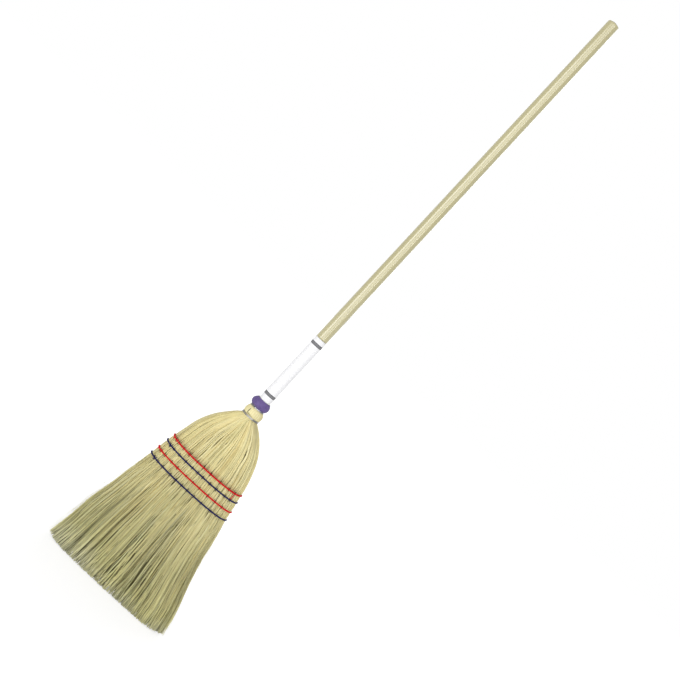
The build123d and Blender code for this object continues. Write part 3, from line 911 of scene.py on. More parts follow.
# Shade, from the outermost fibre to the innermost, is painted shade. The inner layers' tints stop short of
# the pale end, towards the deep colour, as painted shade too.
LAYERS = (
    FibreLayer("hurl_stalks", 11, 700, sides=3, stations=5, top=(449, 453), end=(90, 218), inset=(0.2, 3.6),
               radius=(1.1, 1.6), flat=0.7, taper=0.45, wave=(0.3, 110.0), drift=1.2, tufts=(3.0, 9.0, 0.1),
               tint=(0.2, 0.9), shade=(1.15, 0.84), neck_step=1, sewn=18),
    FibreLayer("hurl_under", 12, 330, sides=3, stations=4, top=(447, 449), end=(150, 215), inset=(3.9, 6.4),
               radius=(1.0, 1.4), flat=0.8, taper=0.5, wave=(0.3, 90.0), drift=1.0, tufts=(3.0, 7.0, 0.0),
               tint=(0.0, 0.5), shade=(0.64, 0.46), neck_step=2, sewn=8),
    FibreLayer("fringe_outer", 13, 860, sides=4, stations=15, top=(222, 258), end=(0, 2.5), inset=(0.3, 4.6),
               radius=(0.62, 1.1), flat=0.8, taper=0.4, wave=(0.3, 85.0), drift=1.5, tufts=(1.7, 4.0, 0.62),
               tint=(0.0, 1.0), shade=(1.4, 0.3), cut_short=0.14),
    FibreLayer("fringe_middle", 14, 720, sides=3, stations=11, top=(205, 240), end=(0, 2.5), inset=(3.6, 9.0),
               radius=(0.55, 0.95), flat=0.8, taper=0.4, wave=(0.8, 80.0), drift=1.4, tufts=(2.2, 5.0, 0.35),
               tint=(0.0, 0.8), shade=(0.5, 0.2), cut_short=0.1),
    FibreLayer("fringe_inner", 15, 760, sides=3, stations=8, top=(150, 205), end=(0, 2), inset=(6.0, 18.0),
               radius=(0.65, 0.95), flat=0.9, taper=0.3, wave=(0.5, 80.0), drift=0.5, tufts=(2.0, 5.0, 0.0),
               tint=(0.0, 0.6), shade=(0.36, 0.16)),
)
STANDS_FOR = {
    "hurl_stalks_front": ("hurl_front",),
    "hurl_stalks_back": ("hurl_back",),
    "hurl_under_front": ("shoulder_corn_left", "shoulder_corn_right"),
}
NECK_HEIGHTS = np.array(
    (446.0, 441.0, 436.0, 430.0, 425.0, 421.0, 417.5, 414.0, 409.0, 402.0,
     394.0, 385.0, 376.0, 367.0, 358.0, 349.0, 340.0, 331.0, 322.0, 312.0)
)


@dataclass
class StrawHead:
    """All the straw: long stalks over the shoulders, the fringe, the core and the neck's sheath."""

    fan: Fan
    sewn_end: float = 224.0
    tie_lap: float = 1.2
    crowding: float = 0.92
    tip_power: float = 2.4
    tip_level: float = 40.0
    tip_rise: float = 5.0
    rise_from: float = 0.69
    cut_lengths: tuple[float, float] = (6.0, 70.0)
    loose_below: float = 250.0
    flare: tuple[float, float] = (430.0, 390.0)
    neck_inset: tuple[float, float] = (0.4, 1.0)
    neck_size: tuple[float, float] = (0.5, 1.0)
    root_length: float = 34.0
    root_sink: float = 3.4
    slant: float = 0.025
    calm_middle: float = 275.0
    calm_reach: float = 45.0
    pressed_above: float = 400.0
    sewn_calm: float = 0.8
    pressed_calm: float = 0.6
    tuft_count: int = 200
    tuft_start: float = -130.0
    tuft_lean: float = 0.75
    most_mood: float = 1.8
    floor_gap: float = 0.35
    slit_shade: float = 0.34
    tip_light: float = 0.6
    tip_light_reach: float = 26.0
    edge_light: float = 0.4
    corner_light: float = 0.45
    corner_reach: float = 80.0
    core_segments: int = 96
    core_heights: tuple = (14, 60, 120, 200, 250, 330, 400, 450)
    core_insets: tuple = (20.0, 18.0, 15.0, 12.0, 8.0, 6.6, 5.0, 1.4)
    core_rough: float = 0.5
    core_shade: float = 0.3
    blade_start: float = np.radians(-118.0)
    blade_sweep: float = np.radians(364.0)
    blade_heights: tuple[float, float] = (425.2, 441.4)
    blade_lift: float = -0.75
    blade_thickness: float = 0.4
    stray_count: int = 100
    stray_stations: int = 12
    edge_strays: int = 46

    def heights(self, layer: FibreLayer, turn: Array, top: Array, end: Array) -> Array:
        """Heights of each fibre's stations, close together where the neck curves and at the rows.

        Args:
            layer: the layer.
            turn: each fibre's angle.
            top: each fibre's top.
            end: each fibre's end.

        Returns:
            Heights shaped (fibres, stations), falling.
        """
        share = np.linspace(0, 1, layer.stations)
        top, end = top[:, None], end[:, None]
        if not layer.neck_step:
            return between((top, end), share**self.crowding)
        neck = np.broadcast_to(NECK_HEIGHTS[:: layer.neck_step], (len(top), self.neck_stations(layer)))
        tie = STITCH_ROWS[0].height(turn)[:, None]
        sewn = between((tie + self.tie_lap, self.sewn_end), np.linspace(0, 1, layer.sewn))
        lower = between((self.sewn_end, end), share[1:])
        return np.concatenate([top, neck, tie - self.tie_lap, sewn, lower], axis=1)

    def neck_stations(self, layer: FibreLayer) -> int:
        """How many stations a layer has between its top and the first row."""
        return len(NECK_HEIGHTS[:: layer.neck_step])

    def run(self, layer: FibreLayer) -> tuple[Array, Array, Array, dict[str, Array]]:
        """Lays out one layer's fibres.

        A fibre keeps its angle and inset, but for a slant, a wave a sin(2 pi z / length + phase),
        a lean that grows below the stitches, its tuft's sway, and a pull towards the middle of
        its tuft. Its shade falls with its depth and in slits, and rises at the tips and edges.

        Args:
            layer: the layer.

        Returns:
            Paths, radii, rough directions across, and the traits at each station.
        """
        draw = np.random.default_rng(layer.seed)
        count, one = layer.count, (layer.count, 1)
        habit = SEWN_HABIT if layer.neck_step else LOOSE_HABIT
        turn = self.fan.even_turns(count, draw)
        top, end = draw.uniform(*layer.top, count), draw.uniform(*layer.end, count)
        edge = np.abs(np.cos(turn + draw.normal(0, 0.012, count))) ** (2 / self.tip_power)
        past = np.clip((edge - self.rise_from) / (1 - self.rise_from), 0, None)
        end = end + np.where(end < self.tip_level, self.tip_rise * past**2, 0)
        end = end + (draw.uniform(0, 1, count) < layer.cut_short) * draw.uniform(*self.cut_lengths, count)
        height = self.heights(layer, turn, top, end)
        share = rise(height, height[:, :1], height[:, -1:])
        loose = rise(height, self.loose_below, 0.0)
        freed = np.clip(loose * 3, 0, 1)
        depth = draw.uniform(0, 1, one)
        shade = between(layer.shade, depth) + draw.normal(0, habit.shade_spread, one)
        neck = rise(height, *self.flare)
        inset = between(layer.inset, depth) * between(self.neck_inset, neck)
        if not layer.neck_step:
            inset = inset + rise(height, top[:, None] - self.root_length, top[:, None]) * self.root_sink
        bent = turn[:, None] + draw.normal(0, self.slant, one) * np.sin(np.pi * share)
        path = self.fan.place(bent, height, inset, parted=layer.neck_step != 2)
        slit = self.fan.parting(bent, height)[1]
        phase, stretch = draw.uniform(0, FULL_TURN, (2, *one)), draw.uniform(0.7, 1.5, (2, *one))
        sewn = bell(height - self.calm_middle, self.calm_reach)
        calm = 1.0 - self.sewn_calm * sewn - self.pressed_calm * (height > self.pressed_above)
        wave = layer.wave[0] * (0.3 + 1.3 * loose) * calm
        wave = wave * np.sin(FULL_TURN * height / (layer.wave[1] * stretch) + phase)
        grown = loose**1.5
        lean = draw.normal(0, layer.drift, (2, *one)) * grown
        pull = layer.tufts[2] * (1 + 0.6 * loose) * freed * (1 - 0.5 * loose**5) * draw.uniform(0.5, 1.1, one)
        moves, (tone, tilt, hue, start, length) = self.tufts(path[:, :1, 0], layer, draw)
        sway = np.sin(height / (13 + 4 * np.abs(length)) + 3 * start)
        lean[0] = lean[0] * habit.own_lean + self.tuft_lean * layer.drift * tilt * grown
        path[..., 0] += wave[0] + lean[0] + moves * pull + habit.sway * layer.drift * loose * sway
        path[..., 1] += wave[1] * 0.5 + lean[1] * 0.4 - np.sign(path[..., 1]) * 0.4 * loose
        path[..., 2] = np.maximum(path[..., 2], self.floor_gap)
        size = draw.uniform(*layer.radius, one)
        radii = size * (1 - layer.taper * share**2.2) * between(self.neck_size, neck)
        c, s = np.cos(turn), np.sin(turn)
        lie = np.stack([np.abs(s) + 0.02, -np.sign(s) * c * (np.abs(c) > 0.93), 0 * c], axis=-1)[:, None]
        tint = between(layer.tint, draw.beta(1.7, 1.5, one)) + habit.tuft_tint * hue
        mood = np.clip(tone, -self.most_mood, self.most_mood) * (0.18 + 0.82 * freed)
        shade = shade * (1 + habit.tuft_shade * mood) * (1 - self.slit_shade * slit)
        lit = self.tip_light * bell(height, self.tip_light_reach) * rise(inset, 14, 0)
        rim = self.edge_light + self.corner_light * bell(height, self.corner_reach)
        rim = rim * edge[:, None] ** 5 * rise(inset, 9, 0)
        shade = shade + (1.0 - shade) * np.maximum(lit, rim) * (shade < 1)
        return path, radii, lie, {"tint": np.clip(tint, 0.04, 0.97) + 0 * height, "shade": shade}

    def tufts(self, x: Array, layer: FibreLayer, draw: np.random.Generator) -> tuple[Array, Array]:
        """The move that would bring each fibre to the middle of its tuft, and its tuft's moods.

        The moods are normal numbers that a tuft shares: shade, lean, tint, phase and length.

        Args:
            x: places across at the fibres' tops.
            layer: the layer, which holds the tufts' least and greatest widths.
            draw: random numbers for the tufts' edges.

        Returns:
            The moves, and the moods shaped (5, fibres, 1).
        """
        edges = np.cumsum(draw.uniform(*layer.tufts[:2], self.tuft_count)) + self.tuft_start
        number = np.clip(np.searchsorted(edges, x) - 1, 0, self.tuft_count - 2)
        moods = draw.normal(0, 1, (self.tuft_count, 5))[number[:, 0]]
        return (edges[number] + edges[number + 1]) / 2 - x, moods.T[..., None]

    def portions(self, layer: FibreLayer, path: Array) -> list[tuple[str, Array, slice]]:
        """The pieces of a layer: one that starts in the neck is cut where the first row hides it.

        Args:
            layer: the layer.
            path: its fibres' points.

        Returns:
            Each piece's name, which fibres it holds and which of their stations.
        """
        everyone = np.ones(len(path), bool)
        if not layer.neck_step:
            return [(layer.name, everyone, slice(None))]
        tied = self.neck_stations(layer) + 2
        front = path[:, 0, 1] < 0
        return [
            (f"{layer.name}_front", front, slice(0, tied)),
            (f"{layer.name}_back", ~front, slice(0, tied)),
            (f"{layer.name}_sewn", everyone, slice(tied, None)),
        ]

    def build(self) -> None:
        """Makes every layer of straw, the core, the sheath and the loose hairs."""
        straw = Straw().made()
        for layer in LAYERS:
            path, radii, lie, traits = self.run(layer)
            for name, chosen, span in self.portions(layer, path):
                points, faces = tube_mesh(
                    path[chosen][:, span], radii[chosen][:, span], layer.sides, lie[chosen], layer.flat
                )
                held = {key: np.repeat(v[chosen][:, span].ravel(), layer.sides) for key, v in traits.items()}
                piece(name, points, faces, straw, STANDS_FOR.get(name, ()), held)
        self.core()
        self.sheath(straw)
        self.strays(straw)

    def core(self) -> None:
        """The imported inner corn: the fan's surface drawn in and roughened, closed at both ends."""
        height = np.concatenate([np.linspace(450, 400, 12), np.linspace(392, 14, 40)])[:, None]
        rows, columns = len(height), self.core_segments
        turn = np.linspace(0, FULL_TURN, columns + 1)[:-1]
        draw = np.random.default_rng(21)
        rough = draw.uniform(-self.core_rough, self.core_rough, (rows, columns))
        inset = np.interp(height, self.core_heights, self.core_insets) + rough
        points = self.fan.place(turn, height, inset, parted=True).reshape(-1, 3)
        row = np.arange(rows - 1)
        quads = ring_quads(row, row + 1, columns)[:, [0, 3, 2, 1]]
        top = np.arange(columns)
        ends = [top.tolist(), (top + (rows - 1) * columns)[::-1].tolist()]
        count = len(points)
        # painted shade: the core's low shade and the darker straw colours below stand in for the shadow deep
        # inside the head
        traits = {"tint": draw.uniform(0.0, 0.35, count), "shade": np.full(count, self.core_shade)}
        corn = Straw("inner_straw", paint(150, 134, 78), paint(178, 162, 102), paint(196, 182, 124)).made()
        piece("inner_corn_core", points, quads.tolist() + ends, corn, ("inner_corn",), traits)

    def sheath(self, material: bpy.types.Material) -> None:
        """The broad blade wrapped round the neck, its edge standing open at the front left.

        The blade's height runs from a lower to an upper edge, and it stands off the fan's own
        surface by a little more at its loose edge. Both edges' slits and its veins are shades.

        Args:
            material: its material.
        """
        u, v = np.meshgrid(self.blade_steps(), np.linspace(0, 1, 14))
        turn = self.blade_start + self.blade_sweep * u
        low = self.blade_heights[0] + 1.6 * bell(u, 0.07)
        high = self.blade_heights[1] - 1.4 * bell(u, 0.03)
        height = between((low, high), v)
        inset = self.blade_lift - 0.35 * bell(u, 0.05) + 0.12 * np.sin(37 * turn) * np.sin(np.pi * v)
        walls = [self.fan.place(turn, height, inset + extra) for extra in (0.0, self.blade_thickness)]
        rows, columns = u.shape
        wide = columns * 2
        row, near = np.arange(rows - 1), np.arange(columns - 1)[:, None] + np.arange(2)
        strip = np.concatenate([near, wide - 1 - near[:, ::-1]], axis=1)
        faces = ring_quads(row, row + 1, wide).tolist() + strip[:, ::-1].tolist()
        faces += (strip + (rows - 1) * wide).tolist()
        around = self.folded(turn).ravel()
        veins = np.sin(47 * around) * np.sin(19 * around + 1) + 0.5 * np.sin(83 * around + 2)
        slit = np.maximum(bell(u, 0.006), bell(u - 0.982, 0.009)) * bell(v - 0.42, 0.36, 4)
        slit = np.maximum(slit, bell(u, 0.085) * bell(v, 0.12))
        shade = (0.93 - 0.88 * self.folded(slit).ravel()) * (1 + 0.06 * veins)
        points = np.concatenate([walls[0], walls[1][:, ::-1]], axis=1).reshape(-1, 3)
        traits = {"tint": 0.8 + 0.13 * veins, "shade": shade}
        piece("neck_sheath", points, faces, material, (), traits)

    def folded(self, grid: Array) -> Array:
        """A grid over the blade's outside, with its mirror image for the inside."""
        return np.concatenate([grid, grid[:, ::-1]], axis=1)

    def blade_steps(self) -> Array:
        """Steps along the blade, close together at both its ends."""
        even = np.linspace(0, 1, 141)
        return even - 0.9 * np.sin(FULL_TURN * even) / FULL_TURN

    def strays(self, material: bpy.types.Material) -> None:
        """Fine loose hairs that stand off both edges and sit over the faces.

        Args:
            material: their material.
        """
        draw = np.random.default_rng(31)
        count, stations, one = self.stray_count, self.stray_stations, (self.stray_count, 1)
        side = np.where(draw.uniform(0, 1, one) < 0.5, 0.0, np.pi) + draw.normal(0, 0.35, one)
        anywhere = draw.uniform(0, FULL_TURN, one)
        turn = np.where(np.arange(count)[:, None] < self.edge_strays, side, anywhere)
        top = draw.uniform(120, 265, one)
        end = np.maximum(top - draw.uniform(60, 200, one), draw.uniform(4, 30, one))
        share = np.linspace(0, 1, stations)
        path = self.fan.place(turn, between((top, end), share), 1.0 - 1.2 * share, parted=True)
        away = np.sign(np.cos(turn)) * (np.abs(np.cos(turn)) > 0.8)
        bow = draw.uniform(0.5, 5.5, one) * share**1.6 * np.where(away < 0, 1.6, 1.0)
        path[..., 0] += away * bow + 0.9 * np.sin(share * draw.uniform(4, 11, one))
        path[..., 1] += np.sign(np.sin(turn)) * 0.6 * np.sin(np.pi * share)
        radii = draw.uniform(0.22, 0.4, one) * (1 - 0.5 * share)
        points, faces = tube_mesh(path, radii, 3, np.array([1.0, 0.05, 0.0]))
        tint = np.repeat(draw.uniform(0.55, 1.0, count), stations * 3)
        traits = {"tint": tint, "shade": np.ones(len(points))}
        piece("stray_hairs", points, faces, material, (), traits)


# Twine, wire, collar, label and handle, in millimetres


@dataclass
class Stitching:
    """The sewn rows: a band once round and a stitch over it at each crease."""

    fan: Fan
    ply_radius: float = 0.86
    ply_offset: float = 0.72
    plies: int = 3
    sides: int = 5
    lay: float = 6.0
    flat_beyond: float = 4.0
    outset: float = 1.4
    stations: int = 13
    stitch_rise: float = 3.7
    stitch_lift: float = 1.45
    stitch_dive: float = 4.0
    stitch_size: float = 0.38
    stitch_lean: float = 0.3
    knot_size: float = 0.5
    knot_leans: tuple[float, float] = (2.4, -1.5)
    bare_shifts: tuple[float, float] = (-5.0, 3.0)
    bare_lean: float = 0.9
    tail_size: float = 0.55
    tail_drop: float = 14.0

    def twisted(self, path: Array, closed: bool = False) -> Array:
        """Lays plies round a path.

        Ply k is path + offset (cos(a) side + sin(a) up), with a = 2 pi (distance / lay + k / n).

        Args:
            path: points of one run.
            closed: whether the run ends where it starts, which rounds its turns to a whole number.

        Returns:
            The plies' paths, shaped (plies, points, 3).
        """
        step = np.diff(path, axis=0, append=path[:1] if closed else path[-1:])
        ahead = unit(np.roll(path, -1, 0) - np.roll(path, 1, 0) if closed else np.gradient(path, axis=0))
        length = np.concatenate([[0], np.cumsum(np.linalg.norm(step, axis=1))[:-1]])
        total = length[-1] + np.linalg.norm(step[-1])
        turns = max(1, round(total / self.lay)) if closed else total / self.lay
        y = path[:, 1:2]
        facing = np.array([0.0, 1.0, 0.0]) * np.sign(y)
        out = np.where(np.abs(y) > self.flat_beyond, facing, path * (1.0, 1.0, 0.0))
        side = square(out, ahead)
        angle = FULL_TURN * (length / total * turns + np.arange(self.plies)[:, None] / self.plies)[..., None]
        return path + self.ply_offset * (np.cos(angle) * side + np.sin(angle) * np.cross(ahead, side))

    def row_inset(self) -> float:
        """The band's inset: outside the straw where the row sinks."""
        return self.fan.row_sink - self.outset

    def band(self, row: StitchRow) -> Array:
        """The plies of the band, which goes round the sweep just outside the creased straw.

        Args:
            row: the row.

        Returns:
            The plies' paths, the last point of each meeting its first.
        """
        fine, along = self.fan.unrolled(row.height, self.row_inset(), 1441)
        turn = np.interp(np.linspace(0, along[-1], 431)[:-1], along, fine)
        plies = self.twisted(self.fan.place(turn, row.height(turn), self.row_inset()), closed=True)
        return np.concatenate([plies, plies[:, :1]], axis=1)

    def stitch(self, row: StitchRow, across: float, face: Face, lean: float) -> Array:
        """One stitch: out of the straw, over the band and back in.

        Args:
            row: its row.
            across: place across the sweep.
            face: the side of the sweep.
            lean: sideways lean over its height.

        Returns:
            Its middle line.
        """
        share = np.linspace(-1, 1, self.stations)
        turn = self.fan.turn_at(across, row.side_height - row.sag) * face.value
        inset = self.row_inset() - self.stitch_lift + self.stitch_dive * np.abs(share) ** 2.6
        path = self.fan.place(turn, row.height(turn) + share * self.stitch_rise, inset)
        path[:, 0] = path[self.stations // 2, 0] + lean * share
        return path

    def tail(self, row: StitchRow) -> Array:
        """The loose end that hangs from the last stitch of the first row.

        Args:
            row: the first row.

        Returns:
            Its middle line.
        """
        share = np.linspace(0, 1, self.stations)
        turn = -self.fan.turn_at(row.ticks[-1], row.side_height - row.sag)
        inset = self.row_inset() - 0.9 + 1.6 * share
        path = self.fan.place(turn, row.height(turn) - self.tail_drop * share, inset)
        path[:, 0] = path[0, 0] + 1.2 * np.sin(2.4 * share)
        return path

    def extras(self, row: StitchRow) -> list[tuple[Array, float]]:
        """Knots or bare stitches at a row's left, and the first row's loose end, with their sizes."""
        start = row.ticks[0]
        places = [(start + 1.0 + lean / 3, lean) for lean in self.knot_leans]
        if not row.knotted:
            places = [(start + shift, self.bare_lean) for shift in self.bare_shifts]
        lines = [(self.stitch(row, place, Face.FRONT, lean), self.knot_size) for place, lean in places]
        return lines + ([(self.tail(row), self.tail_size)] if row is STITCH_ROWS[0] else [])

    def build(self) -> None:
        """Makes each row as one piece. A stitch takes painted shade towards both ends, where it dives between
        stalks.
        """
        threads = {
            Slot.RED: TwistedTwine("twine_red", paint(214, 14, 30), paint(228, 44, 54)).made(),
            Slot.NAVY: TwistedTwine("twine_navy", paint(22, 24, 80), paint(44, 48, 104)).made(),
        }
        draw = np.random.default_rng(41)
        # painted shade: each stitch darkens towards both its ends
        dive_shade_share = np.abs(np.linspace(-1, 1, self.stations)) ** 0.6
        for row in STITCH_ROWS:
            width = np.array([[self.ply_radius]])
            points, faces = tube_mesh(self.band(row), width, self.sides, np.array([0.0, 0.0, 1.0]))
            places = [(tick, face) for face in Face for tick in row.ticks]
            stitches = [self.stitch(row, *place, draw.normal(0, self.stitch_lean)) for place in places]
            extras = self.extras(row)
            lines = np.repeat(stitches + [line for line, _ in extras], self.plies, axis=0)
            sizes = [self.stitch_size] * len(stitches) + [size for _, size in extras]
            size = np.repeat(sizes, self.plies)[:, None]
            plies = np.concatenate([self.twisted(line) for line in lines[:: self.plies]])
            plies = lines + (plies - lines) * size[..., None]
            more, extra = tube_mesh(plies, width * size, self.sides, np.array([1.0, 0.02, 0.0]))
            shift = len(points)
            # painted shade on the stitches alone, none on the band, the knots or the tail
            sunk = np.zeros((len(lines), self.stations, self.sides))
            sunk[: len(stitches) * self.plies] = dive_shade_share[:, None]
            faces += [[i + shift for i in corner] for corner in extra]
            traits = {"sunk": np.concatenate([np.zeros(shift), sunk.ravel()])}
            points = np.concatenate([points, more])
            piece(row.name, points, faces, threads[row.slot], (row.node,), traits)


@dataclass
class BindingWire:
    """The wire round the waist, up the back of the neck and round the butts."""

    fan: Fan
    thickness: float = 0.66
    outset: float = 1.2
    waist_height: float = 421.6
    upper_height: float = 442.2
    pitch: float = 1.9
    upper_pitch: float = 1.2
    waist_turns: float = 1.75
    climb_turns: float = 0.3
    upper_turns: float = 1.45
    start: float = np.pi * 0.92
    steps: int = 72

    def build(self) -> None:
        """One tube on a helix just outside the straw.

        Its height rises evenly with the turn but for the climb, where it goes from the waist's
        winding to the upper one as 3 t^2 - 2 t^3.
        """
        total = self.waist_turns + self.climb_turns + self.upper_turns
        turned = np.linspace(0, total, int(total * self.steps) + 1)
        climb = rise(turned, self.waist_turns, self.waist_turns + self.climb_turns)
        low = self.waist_height + self.pitch * np.minimum(turned, self.waist_turns)
        above = np.maximum(turned - self.waist_turns - self.climb_turns, 0)
        height = between((low, self.upper_height + self.upper_pitch * above), climb * climb * (3 - 2 * climb))
        path = self.fan.place(self.start + FULL_TURN * turned, height, -self.outset)[None]
        points, faces = tube_mesh(path, np.array([[self.thickness]]), 10, np.array([0.0, 0.0, 1.0]))
        piece("neck_wire", points, faces, DrawnSteel().made(), ("binding_wire",))


@dataclass
class Collar:
    """The moulded collar; its belly sits a little to the left."""

    base: float = 444.6
    outside: tuple[tuple[float, float], ...] = (
        (15.0, 0.0), (15.9, 0.25), (16.9, 1.1), (18.2, 3.0), (19.1, 5.4), (19.5, 7.8), (19.3, 10.2),
        (18.2, 12.8), (16.6, 15.0), (15.2, 16.7), (14.4, 17.7), (13.9, 18.1),
    )
    wall: float = 0.9
    mouth: float = 12.5
    swell: tuple[float, float] = (14.0, 19.5)
    lean: float = 1.1
    segments: int = 96

    def build(self) -> None:
        """A lathe of the outside and of a wall inside it, leaning left where it is widest."""
        outer = np.array(self.outside)
        inner = outer[::-1] - np.array([self.wall, 0.0])
        inner[:, 0] = np.maximum(inner[:, 0], self.mouth)
        inner[0], inner[-1] = (self.mouth, outer[-1, 1]), (outer[0, 0] - self.wall, outer[0, 1])
        fine, places = np.linspace(0, 1, 40), np.linspace(0, 1, len(outer))
        outside = np.stack([np.interp(fine, places, axis) for axis in outer.T], axis=1)
        profile = np.concatenate([outside, inner])
        angle = ring_angles(self.segments)
        wobble = -self.lean * np.cos(angle) + 0.22 * np.cos(3 * angle + 0.7) + 0.12 * np.cos(7 * angle)
        wobble = rise(profile[:, :1], *self.swell) * wobble
        points, faces = lathe_mesh(profile + np.array([0.0, self.base]), self.segments, wobble)
        piece("collar_shell", points, faces, MouldedCollar().made(), ("neck_collar",))


@dataclass
class LabelSleeve:
    """The label film with its lapped seam."""

    low: float = 459.0
    high: float = 617.8
    radius: float = 12.2
    thickness: float = 0.14
    lap: float = 0.16
    lap_ends: tuple[float, float] = (np.radians(336), np.radians(12))
    rows: int = 41
    segments: int = 160

    def build(self) -> None:
        """A thin closed tube whose outside steps up over the lap."""
        heights = np.linspace(self.low, self.high, self.rows)
        radii = np.repeat([self.radius, self.radius - self.thickness], self.rows)
        profile = np.stack([radii, np.concatenate([heights, heights[::-1]])], axis=1)
        angle = ring_angles(self.segments)
        step = self.lap * ((angle > self.lap_ends[0]) | (angle < self.lap_ends[1]))
        wobble = np.repeat([step, 0 * step], self.rows, axis=0)
        points, faces = lathe_mesh(profile, self.segments, wobble)
        piece("label_wrap", points, faces, LabelFilm().made(), ("label_sleeve",))


@dataclass
class Pole:
    """The turned handle."""

    base: float = 333.0
    top: float = 1400.0
    radius: float = 11.9
    base_radius: float = 12.2
    seat: float = 11.9
    seat_top: float = 619.8
    step: tuple[float, ...] = (0.0, 0.3, 1.0)
    pole_start: float = 623.0
    taper_top: float = 393.0
    end_radius: float = 5.5
    edge: float = 2.6
    crown: float = 2.8
    segments: int = 72

    def build(self) -> None:
        """A lathe: taper, seat under the label, pole, rounded edge and crowned top.

        The edge is a quarter circle and the crown a shallow dome h (1 - (r / edge radius)^2).
        Rows stand close together at the step over the label, which keeps the pole's shading even.
        """
        quarter = np.linspace(0, np.pi / 2, 9)
        shoulder = self.top - self.crown - self.edge
        flat = self.radius - self.edge
        rounded = np.stack(
            [self.radius - self.edge * (1 - np.cos(quarter)), shoulder + self.edge * np.sin(quarter)], axis=1
        )
        out = np.linspace(1, 0, 7)[1:]
        dome = np.stack([flat * out, self.top - self.crown * out**2], axis=1)
        upper = np.linspace(self.pole_start, shoulder - 1.0, 21)
        heights = np.concatenate([self.seat_top + np.array(self.step), upper])
        pole = np.stack([np.linspace(self.base_radius, self.radius, len(heights)), heights], axis=1)
        low = ((0, self.base), (self.end_radius, self.base), (self.seat, self.taper_top),
               (self.seat, self.seat_top - 0.2))
        points, faces = lathe_mesh(np.concatenate([low, pole, rounded, dome]), self.segments)
        piece("pole", points, faces, LacqueredWood().made(), ("handle",))


# Room, lamps and camera


@dataclass(frozen=True)
class Lamp:
    """A rectangular lamp: bearing from the front in degrees, then metres and watts."""

    name: str
    bearing: float
    distance: float
    height: float
    aim: float
    size: tuple[float, float]
    power: float


LAMPS = (
    Lamp("window", -32.0, 2.6, 0.95, 0.9, (1.2, 1.8), 15.8),
    Lamp("fill", 6.0, 2.6, 1.1, 0.9, (1.6, 2.1), 14.2),
    Lamp("strip", 37.0, 2.6, 1.15, 0.8, (0.4, 1.7), 6.6),
    Lamp("back", 170.0, 2.6, 1.3, 0.45, (1.8, 1.7), 26.0),
)


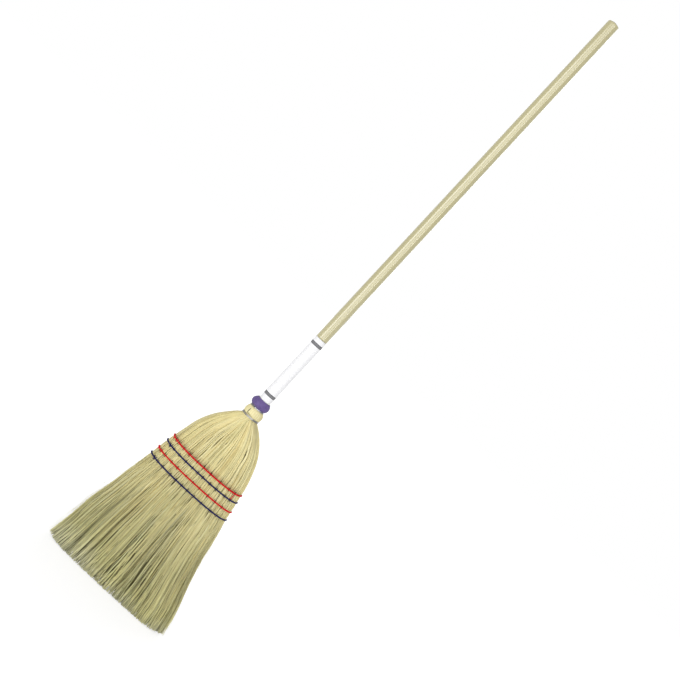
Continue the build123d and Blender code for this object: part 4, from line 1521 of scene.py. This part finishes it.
@dataclass
class Studio:
    """A white room, soft lamps and the photograph's camera; metres."""

    distance: float = 2.8
    elevation: float = np.radians(4.7)
    roll: float = np.radians(42.89)
    lens: float = 80.378
    sensor: float = 36.0
    target: tuple[float, float, float] = (0.025745, 0.0, 0.64045)
    world_level: float = 0.55
    white: float = 1.0
    floor_reach: float = 9.0
    floor_tones: tuple[float, float] = (0.93, 0.95)
    floor_noise: tuple = (30.0, 30.0, 2.0)
    floor_white: float = 0.58
    floor_glow: float = 1.25
    floor_window: tuple[float, float] = (0.45, 1.3)

    def camera(self) -> None:
        """Stands the camera in front, tilted down and rolled as the photograph is."""
        data = bpy.data.cameras.new("camera")
        data.sensor_width, data.lens = self.sensor, self.lens
        cos_e, sin_e = np.cos(self.elevation), np.sin(self.elevation)
        forward = np.array([0.0, cos_e, -sin_e])
        right, up = np.array([1.0, 0.0, 0.0]), np.array([0.0, sin_e, cos_e])
        cos_r, sin_r = np.cos(self.roll), np.sin(self.roll)
        right, up = cos_r * right + sin_r * up, -sin_r * right + cos_r * up
        place = np.array(self.target) - self.distance * forward
        pose = np.eye(4)
        pose[:3] = np.stack([right, up, -forward, place], axis=1)
        camera = linked("camera", data)
        camera.matrix_world = Matrix(pose.tolist())
        bpy.context.scene.camera = camera

    def hang(self, lamp: Lamp) -> None:
        """Adds one lamp, out of the camera's sight.

        Args:
            lamp: the lamp.
        """
        turn = np.radians(lamp.bearing)
        place = (lamp.distance * np.sin(turn), -lamp.distance * np.cos(turn), lamp.height)
        data = bpy.data.lights.new(lamp.name, "AREA")
        data.shape, data.size, data.size_y, data.energy = "RECTANGLE", *lamp.size, lamp.power
        made = linked(lamp.name, data)
        way = Vector((0.0, 0.0, lamp.aim)) - Vector(place)
        made.matrix_world = Matrix.Translation(place) @ way.to_track_quat("-Z", "Y").to_matrix().to_4x4()
        made.visible_camera = False

    def seen(self, board: Board) -> Channel:
        """1 for camera, glossy and transmission rays, 0 for the light that falls on things."""
        kinds = ("Camera", "Glossy", "Transmission")
        rays = [board.add("ShaderNodeLightPath", output=f"Is {kind} Ray") for kind in kinds]
        return (rays[0] + rays[1] + rays[2]).clamped()

    def floor(self) -> None:
        """A pale floor that a camera sees as white, and that keeps the broom's shadow."""
        board = Board("studio_floor")
        colour = board.mixed(board.noise(*self.floor_noise), *(neutral(tone) for tone in self.floor_tones))
        matt = board.add("ShaderNodeBsdfDiffuse", None, {"Color": colour})
        glow = board.add("ShaderNodeEmission", None, {"Color": neutral(1.0), "Strength": self.floor_glow})
        away = board.add("ShaderNodeVectorMath", {"operation": "LENGTH"}, {0: board.spot()}, "Value")
        share = self.floor_white + (1.0 - self.floor_white) * away.ramp(*self.floor_window)
        both = board.add("ShaderNodeMixShader", None, {0: self.seen(board) * share, 1: matt, 2: glow})
        board.add("ShaderNodeOutputMaterial", None, {"Surface": both})
        mesh = bpy.data.meshes.new("floor")
        far = self.floor_reach
        points = [(-far, -far, 0), (far, -far, 0), (far, far, 0), (-far, far, 0)]
        mesh.from_pydata(points, [], [(0, 1, 2, 3)])
        mesh.materials.append(board.owner)
        linked("floor", mesh)

    def world(self) -> None:
        """Even light from all round, and plain white behind."""
        world = bpy.data.worlds.new("room")
        bpy.context.scene.world = world
        board = Board(world)
        inputs = [{"Color": neutral(1.0), "Strength": level} for level in (self.world_level, self.white)]
        dim, white = (board.add("ShaderNodeBackground", None, lit) for lit in inputs)
        both = board.add("ShaderNodeMixShader", None, {0: self.seen(board), 1: dim, 2: white})
        board.add("ShaderNodeOutputWorld", None, {"Surface": both})

    def build(self) -> None:
        """Sets up the whole room."""
        bpy.context.scene.view_settings.view_transform = "Standard"
        self.camera()
        self.world()
        self.floor()
        for lamp in LAMPS:
            self.hang(lamp)


def dress_hidden() -> None:
    """Gives the CAD nodes that stay, both inside the neck, their steel."""
    steel = DrawnSteel("hidden_steel", paint(190, 190, 192), paint(140, 140, 143)).made()
    for name in ("inner_winding", "wire_tack"):
        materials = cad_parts[name].data.materials
        materials.clear()
        materials.append(steel)
        LOG.info("%s: steel", name)


def main() -> None:
    """Builds the room and every piece."""
    logging.basicConfig(level=logging.INFO, format="%(name)s %(message)s")
    fan = Fan()
    head = (StrawHead(fan), Stitching(fan), BindingWire(fan))
    for assembly in (Studio(), *head, Collar(), LabelSleeve(), Pole()):
        assembly.build()
    dress_hidden()


if __name__ == "__main__":
    main()
